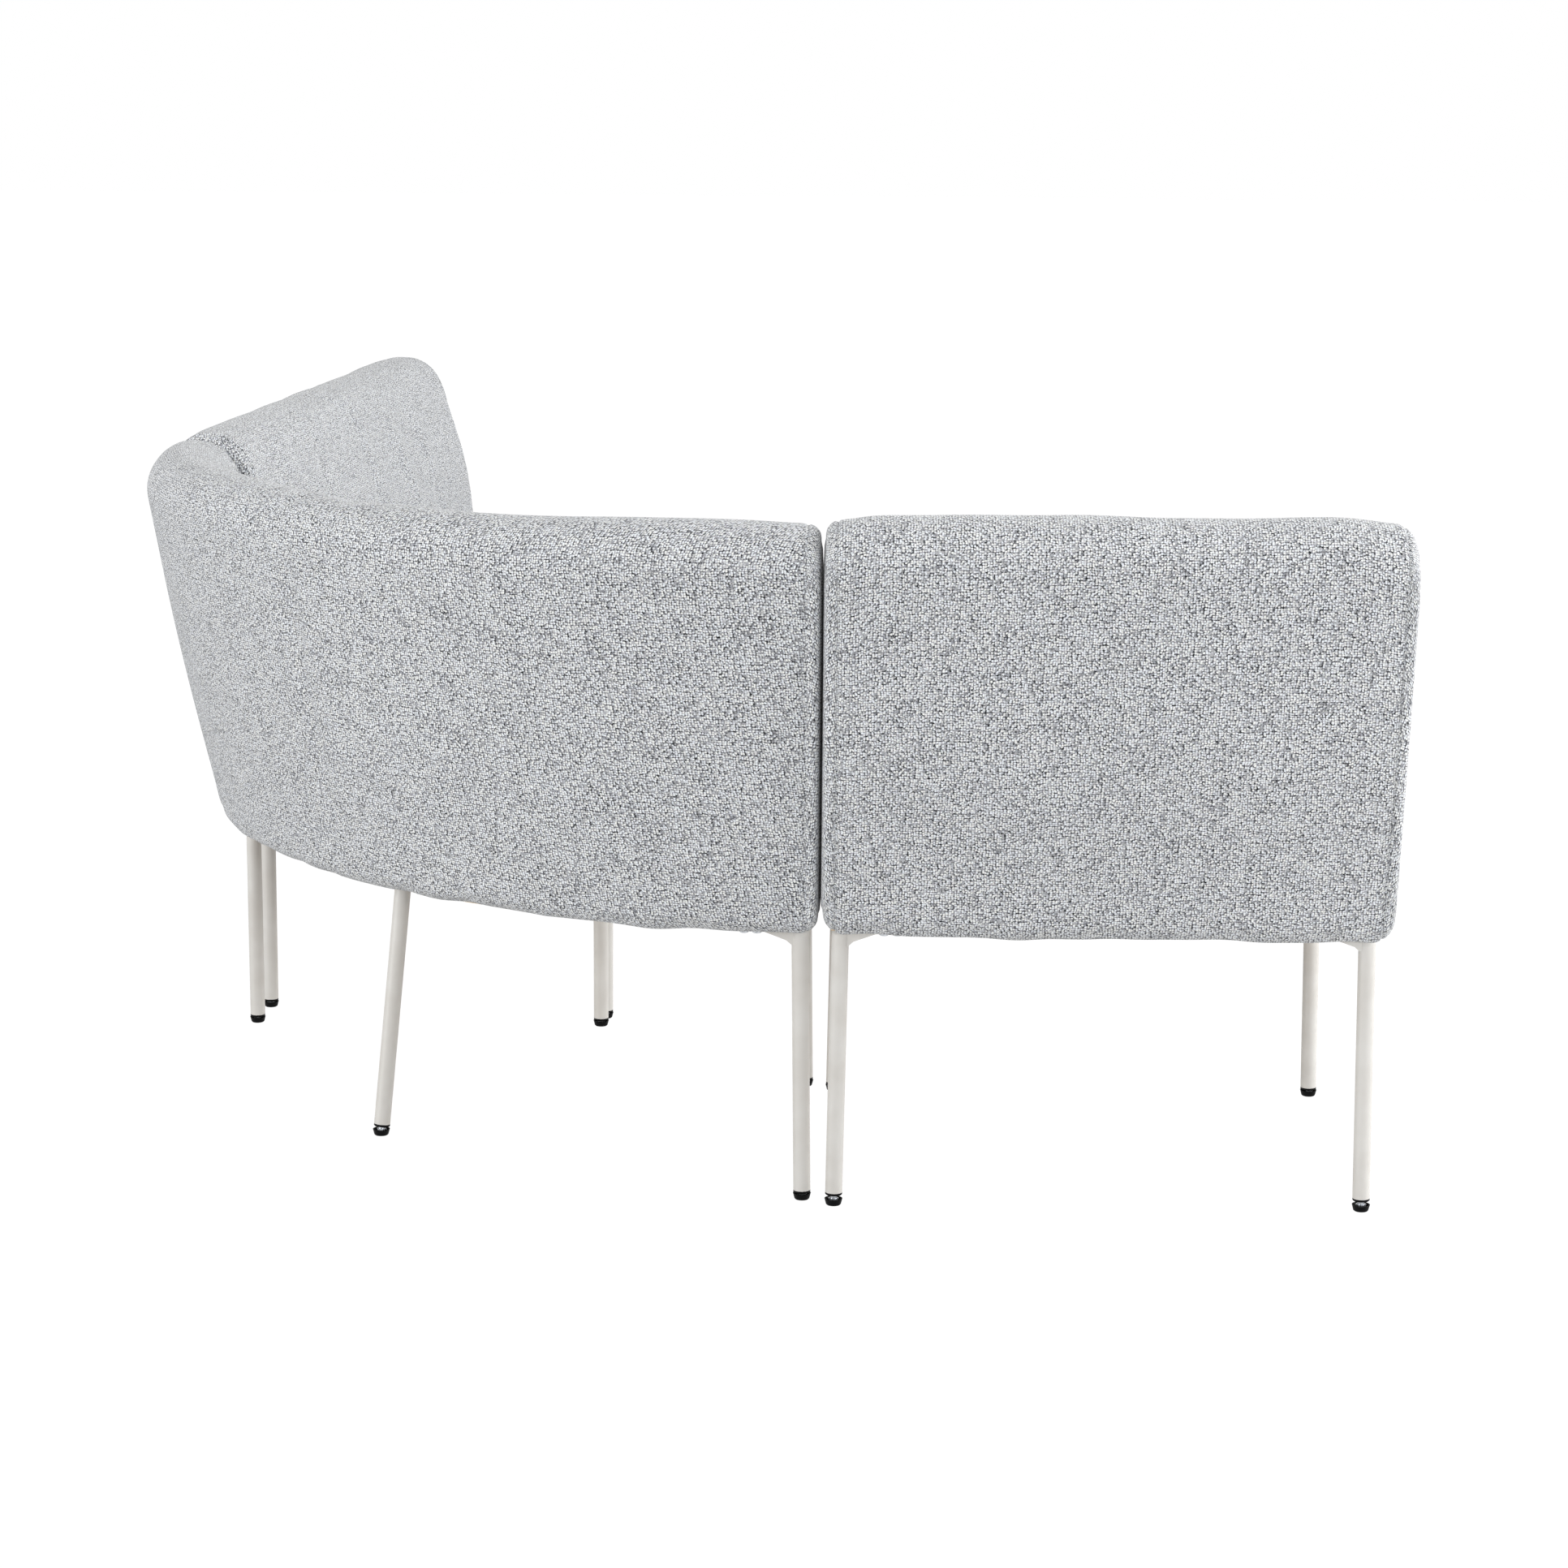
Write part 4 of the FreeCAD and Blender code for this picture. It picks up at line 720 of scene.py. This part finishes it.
# What sets each back apart: its top and hem lines, its creases and how far it reaches past its places.
# A reachSide of 1 moves the far end alone by endReach, and -1 the near end alone the other way.
# A crease: its face, share of the width, half width, rise, from and to which height, and lean.
ownShapes = {
    "right_back": {
        "topLine": [(0, 0.001), (0.10, 0.004), (0.40, 0.006), (0.60, 0.003), (0.85, 0.006), (1, 0.002)],
        "hemLine": [(0, 0), (0.15, -0.001), (0.35, -0.005), (0.55, -0.003), (0.80, -0.006), (1, -0.004)],
        "endReach": 0.0044, "reachSide": 1.27, "cornerRounds": (0.014, 0.023), "hemCorner": 0.026,
        "creases": [("rear", 0.30, 0.05, 0.0012, 0.10, 0.40, 0.02), ("rear", 0.72, 0.06, 0.0012, 0.14, 0.42, -0.03)],
    },
    "left_back": {
        "endReach": 0.008, "reachSide": 1,
        "topLine": [(0, -0.003), (0.06, 0), (0.15, 0.002), (0.35, 0), (0.55, 0.001), (0.75, 0), (1, 0.001)],
        "frontSwell": [(0, 0.010), (0.20, 0.009), (0.50, 0.007), (1, 0.006)],
        "creases": [
            ("front", 0.20, 0.028, 0.0050, 0.18, 0.42, 0.25), ("front", 0.34, 0.030, 0.0060, 0.16, 0.40, 0.20),
            ("front", 0.50, 0.022, -0.0028, 0.18, 0.42, 0.18), ("front", 0.71, 0.026, -0.0030, 0.20, 0.42, 0.12),
        ],
    },
    "corner_back": {
        "crown": 0.0035, "middleFuller": 0.0, "cornerRounds": (0.014, 0.022), "endReach": -0.0006, "reachSide": -1,
        "topLine": [(0, 0), (0.15, -0.001), (0.28, -0.006), (0.45, -0.006), (0.62, -0.001), (1, 0)],
        "hemLine": [(0, 0), (0.2, 0), (0.35, 0.003), (0.5, 0.002), (1, 0)],
        "creases": [
            ("rear", 0.503, 0.012, -0.0040, 0.12, 0.42, 0.0), ("rear", 0.25, 0.014, -0.0030, 0.16, 0.42, 0.0),
            ("rear", 0.75, 0.040, 0.0016, 0.10, 0.40, 0.0), ("rear", 0.38, 0.050, 0.0014, 0.10, 0.40, 0.0),
        ],
    },
}


def straightAlong(width):
    return lambda t: t - width / 2


def cornerAlong(middleRadius):
    return lambda t: (rowPlaces["endGap"] + t) / middleRadius


backMiddle = backPad["radius"] - backPad["thickness"] / 2
seatMiddle = (seatPad["frontRadius"] + backMiddle) / 2
for module, placeAt, seedStep in (("right", placeRight, 0), ("left", placeLeft, 100), ("corner", placeCorner, 200)):
    for kind, pad, section, middleRadius in (
        ("back", backPad, backSection, backMiddle), ("seat", seatPad, seatSection, seatMiddle),
    ):
        if module == "corner":
            width = math.pi / 2 * middleRadius - 2 * rowPlaces["endGap"]
            place = (placeAt, cornerAlong(middleRadius), middleRadius)
        else:
            width = rowPlaces[f"{module}Width"] - 2 * rowPlaces["endGap"]
            place = (placeAt, straightAlong(width), 1)
        settings = {**pad, "seed": pad["seed"] + seedStep, **ownShapes.get(f"{module}_{kind}", {})}
        makePad(f"{module}_{kind}_cover", settings, section, place, width, f"{module}_{kind}_pad")

# Studio: a pale floor, a white surround and soft lamps
studio = {
    "floorSize": 60.0,
    "floorColour": "#BFBFBF",
    "floorShownWhite": 0.90,
    "floorGlow": 1.10,
    "surround": 0.52,
    "lamps": [
        # name, position, target, size, watts
        ("left_softbox", (-4.9, -3.0, 1.4), (-0.3, -0.8, 0.5), 2.4, 202),
        ("front_softbox", (2.9, -5.0, 1.0), (0.3, -0.9, 0.5), 1.5, 96),
        ("right_softbox", (4.6, -1.0, 1.7), (-0.2, -0.5, 0.5), 2.4, 168),
        ("top_softbox", (0.2, -1.0, 4.2), (0.0, -0.6, 0.6), 2.6, 38),
        ("room_softbox", (2.6, 1.6, 2.3), (-0.5, 0.1, 0.6), 2.4, 38),
    ],
}


def shownRays(tree):
    # one for rays from the camera, off a gloss or through glass, and nought for those that light the bench
    rays = addNode(tree, "ShaderNodeLightPath").outputs
    shown = addNode(tree, "ShaderNodeMath", {
        0: rays["Is Camera Ray"], 1: rays["Is Glossy Ray"]}, operation="MAXIMUM").outputs[0]
    return addNode(tree, "ShaderNodeMath", {
        0: shown, 1: rays["Is Transmission Ray"]}, operation="MAXIMUM").outputs[0]


world = bpy.data.worlds.new("studio_surround")
bpy.context.scene.world = world
tree = emptyTree(world)
lit = addNode(tree, "ShaderNodeBackground", {"Color": (1, 1, 1, 1), "Strength": studio["surround"]}).outputs[0]
white = addNode(tree, "ShaderNodeBackground", {"Color": (1, 1, 1, 1), "Strength": 1.0}).outputs[0]
mixed = addNode(tree, "ShaderNodeMixShader", {0: shownRays(tree), 1: lit, 2: white}).outputs[0]
addNode(tree, "ShaderNodeOutputWorld", {"Surface": mixed})

floorMesh = bpy.data.meshes.new("studio_floor")
half = studio["floorSize"] / 2
floorMesh.from_pydata([(-half, -half, 0), (half, -half, 0), (half, half, 0), (-half, half, 0)], [], [(0, 1, 2, 3)])
floor = bpy.data.objects.new("studio_floor", floorMesh)
bpy.context.scene.collection.objects.link(floor)
floorMaterial = bpy.data.materials.new("painted_floor")
tree = emptyTree(floorMaterial)
paint = addNode(tree, "ShaderNodeBsdfDiffuse", {"Color": hexColour(studio["floorColour"])}).outputs[0]
glow = addNode(tree, "ShaderNodeEmission", {"Color": (1, 1, 1, 1), "Strength": studio["floorGlow"]}).outputs[0]
share = addNode(tree, "ShaderNodeMath", {
    0: shownRays(tree), 1: studio["floorShownWhite"]}, operation="MULTIPLY").outputs[0]
mixed = addNode(tree, "ShaderNodeMixShader", {0: share, 1: paint, 2: glow}).outputs[0]
addNode(tree, "ShaderNodeOutputMaterial", {"Surface": mixed})
floor.data.materials.append(floorMaterial)

for lampName, position, target, size, watts in studio["lamps"]:
    lamp = bpy.data.lights.new(lampName, "AREA")
    lamp.shape = "SQUARE"
    lamp.size = size
    lamp.energy = watts
    lampObject = bpy.data.objects.new(lampName, lamp)
    lampObject.location = position
    lampObject.rotation_mode = "QUATERNION"
    lampObject.rotation_quaternion = (Vector(target) - Vector(position)).to_track_quat("-Z", "Y")
    bpy.context.scene.collection.objects.link(lampObject)
print("studio lit")

# Camera, solved from the photograph: place in metres, turns in degrees, pixels of the 1932 px frame
view = {
    "position": (0.1318, -5.0457, 1.3086),
    "yaw": -0.77, "pitch": 11.43, "roll": 0.43,
    "focalPixels": 4425.76, "framePixels": 1932, "axisPixels": (962.49, 966.23), "sensor": 36.0,
    "clip": (0.1, 100),
}
yaw, pitch, roll = (math.radians(view[key]) for key in ("yaw", "pitch", "roll"))
forward = Vector((math.sin(yaw) * math.cos(pitch), math.cos(yaw) * math.cos(pitch), -math.sin(pitch)))
right = Vector((math.cos(yaw), -math.sin(yaw), 0))
upward = right.cross(forward)
rolledRight = right * math.cos(roll) + upward * math.sin(roll)
rolledUp = upward * math.cos(roll) - right * math.sin(roll)
camera = bpy.data.cameras.new("photo_camera")
camera.sensor_width = view["sensor"]
camera.lens = view["focalPixels"] / view["framePixels"] * view["sensor"]
camera.shift_x = (view["framePixels"] / 2 - view["axisPixels"][0]) / view["framePixels"]
camera.shift_y = (view["axisPixels"][1] - view["framePixels"] / 2) / view["framePixels"]
camera.clip_start, camera.clip_end = view["clip"]
cameraObject = bpy.data.objects.new("photo_camera", camera)
axes = Matrix((rolledRight, rolledUp, -forward)).transposed()
cameraObject.matrix_world = Matrix.Translation(view["position"]) @ axes.to_4x4()
bpy.context.scene.collection.objects.link(cameraObject)
bpy.context.scene.camera = cameraObject
bpy.context.scene.view_settings.view_transform = "Standard"
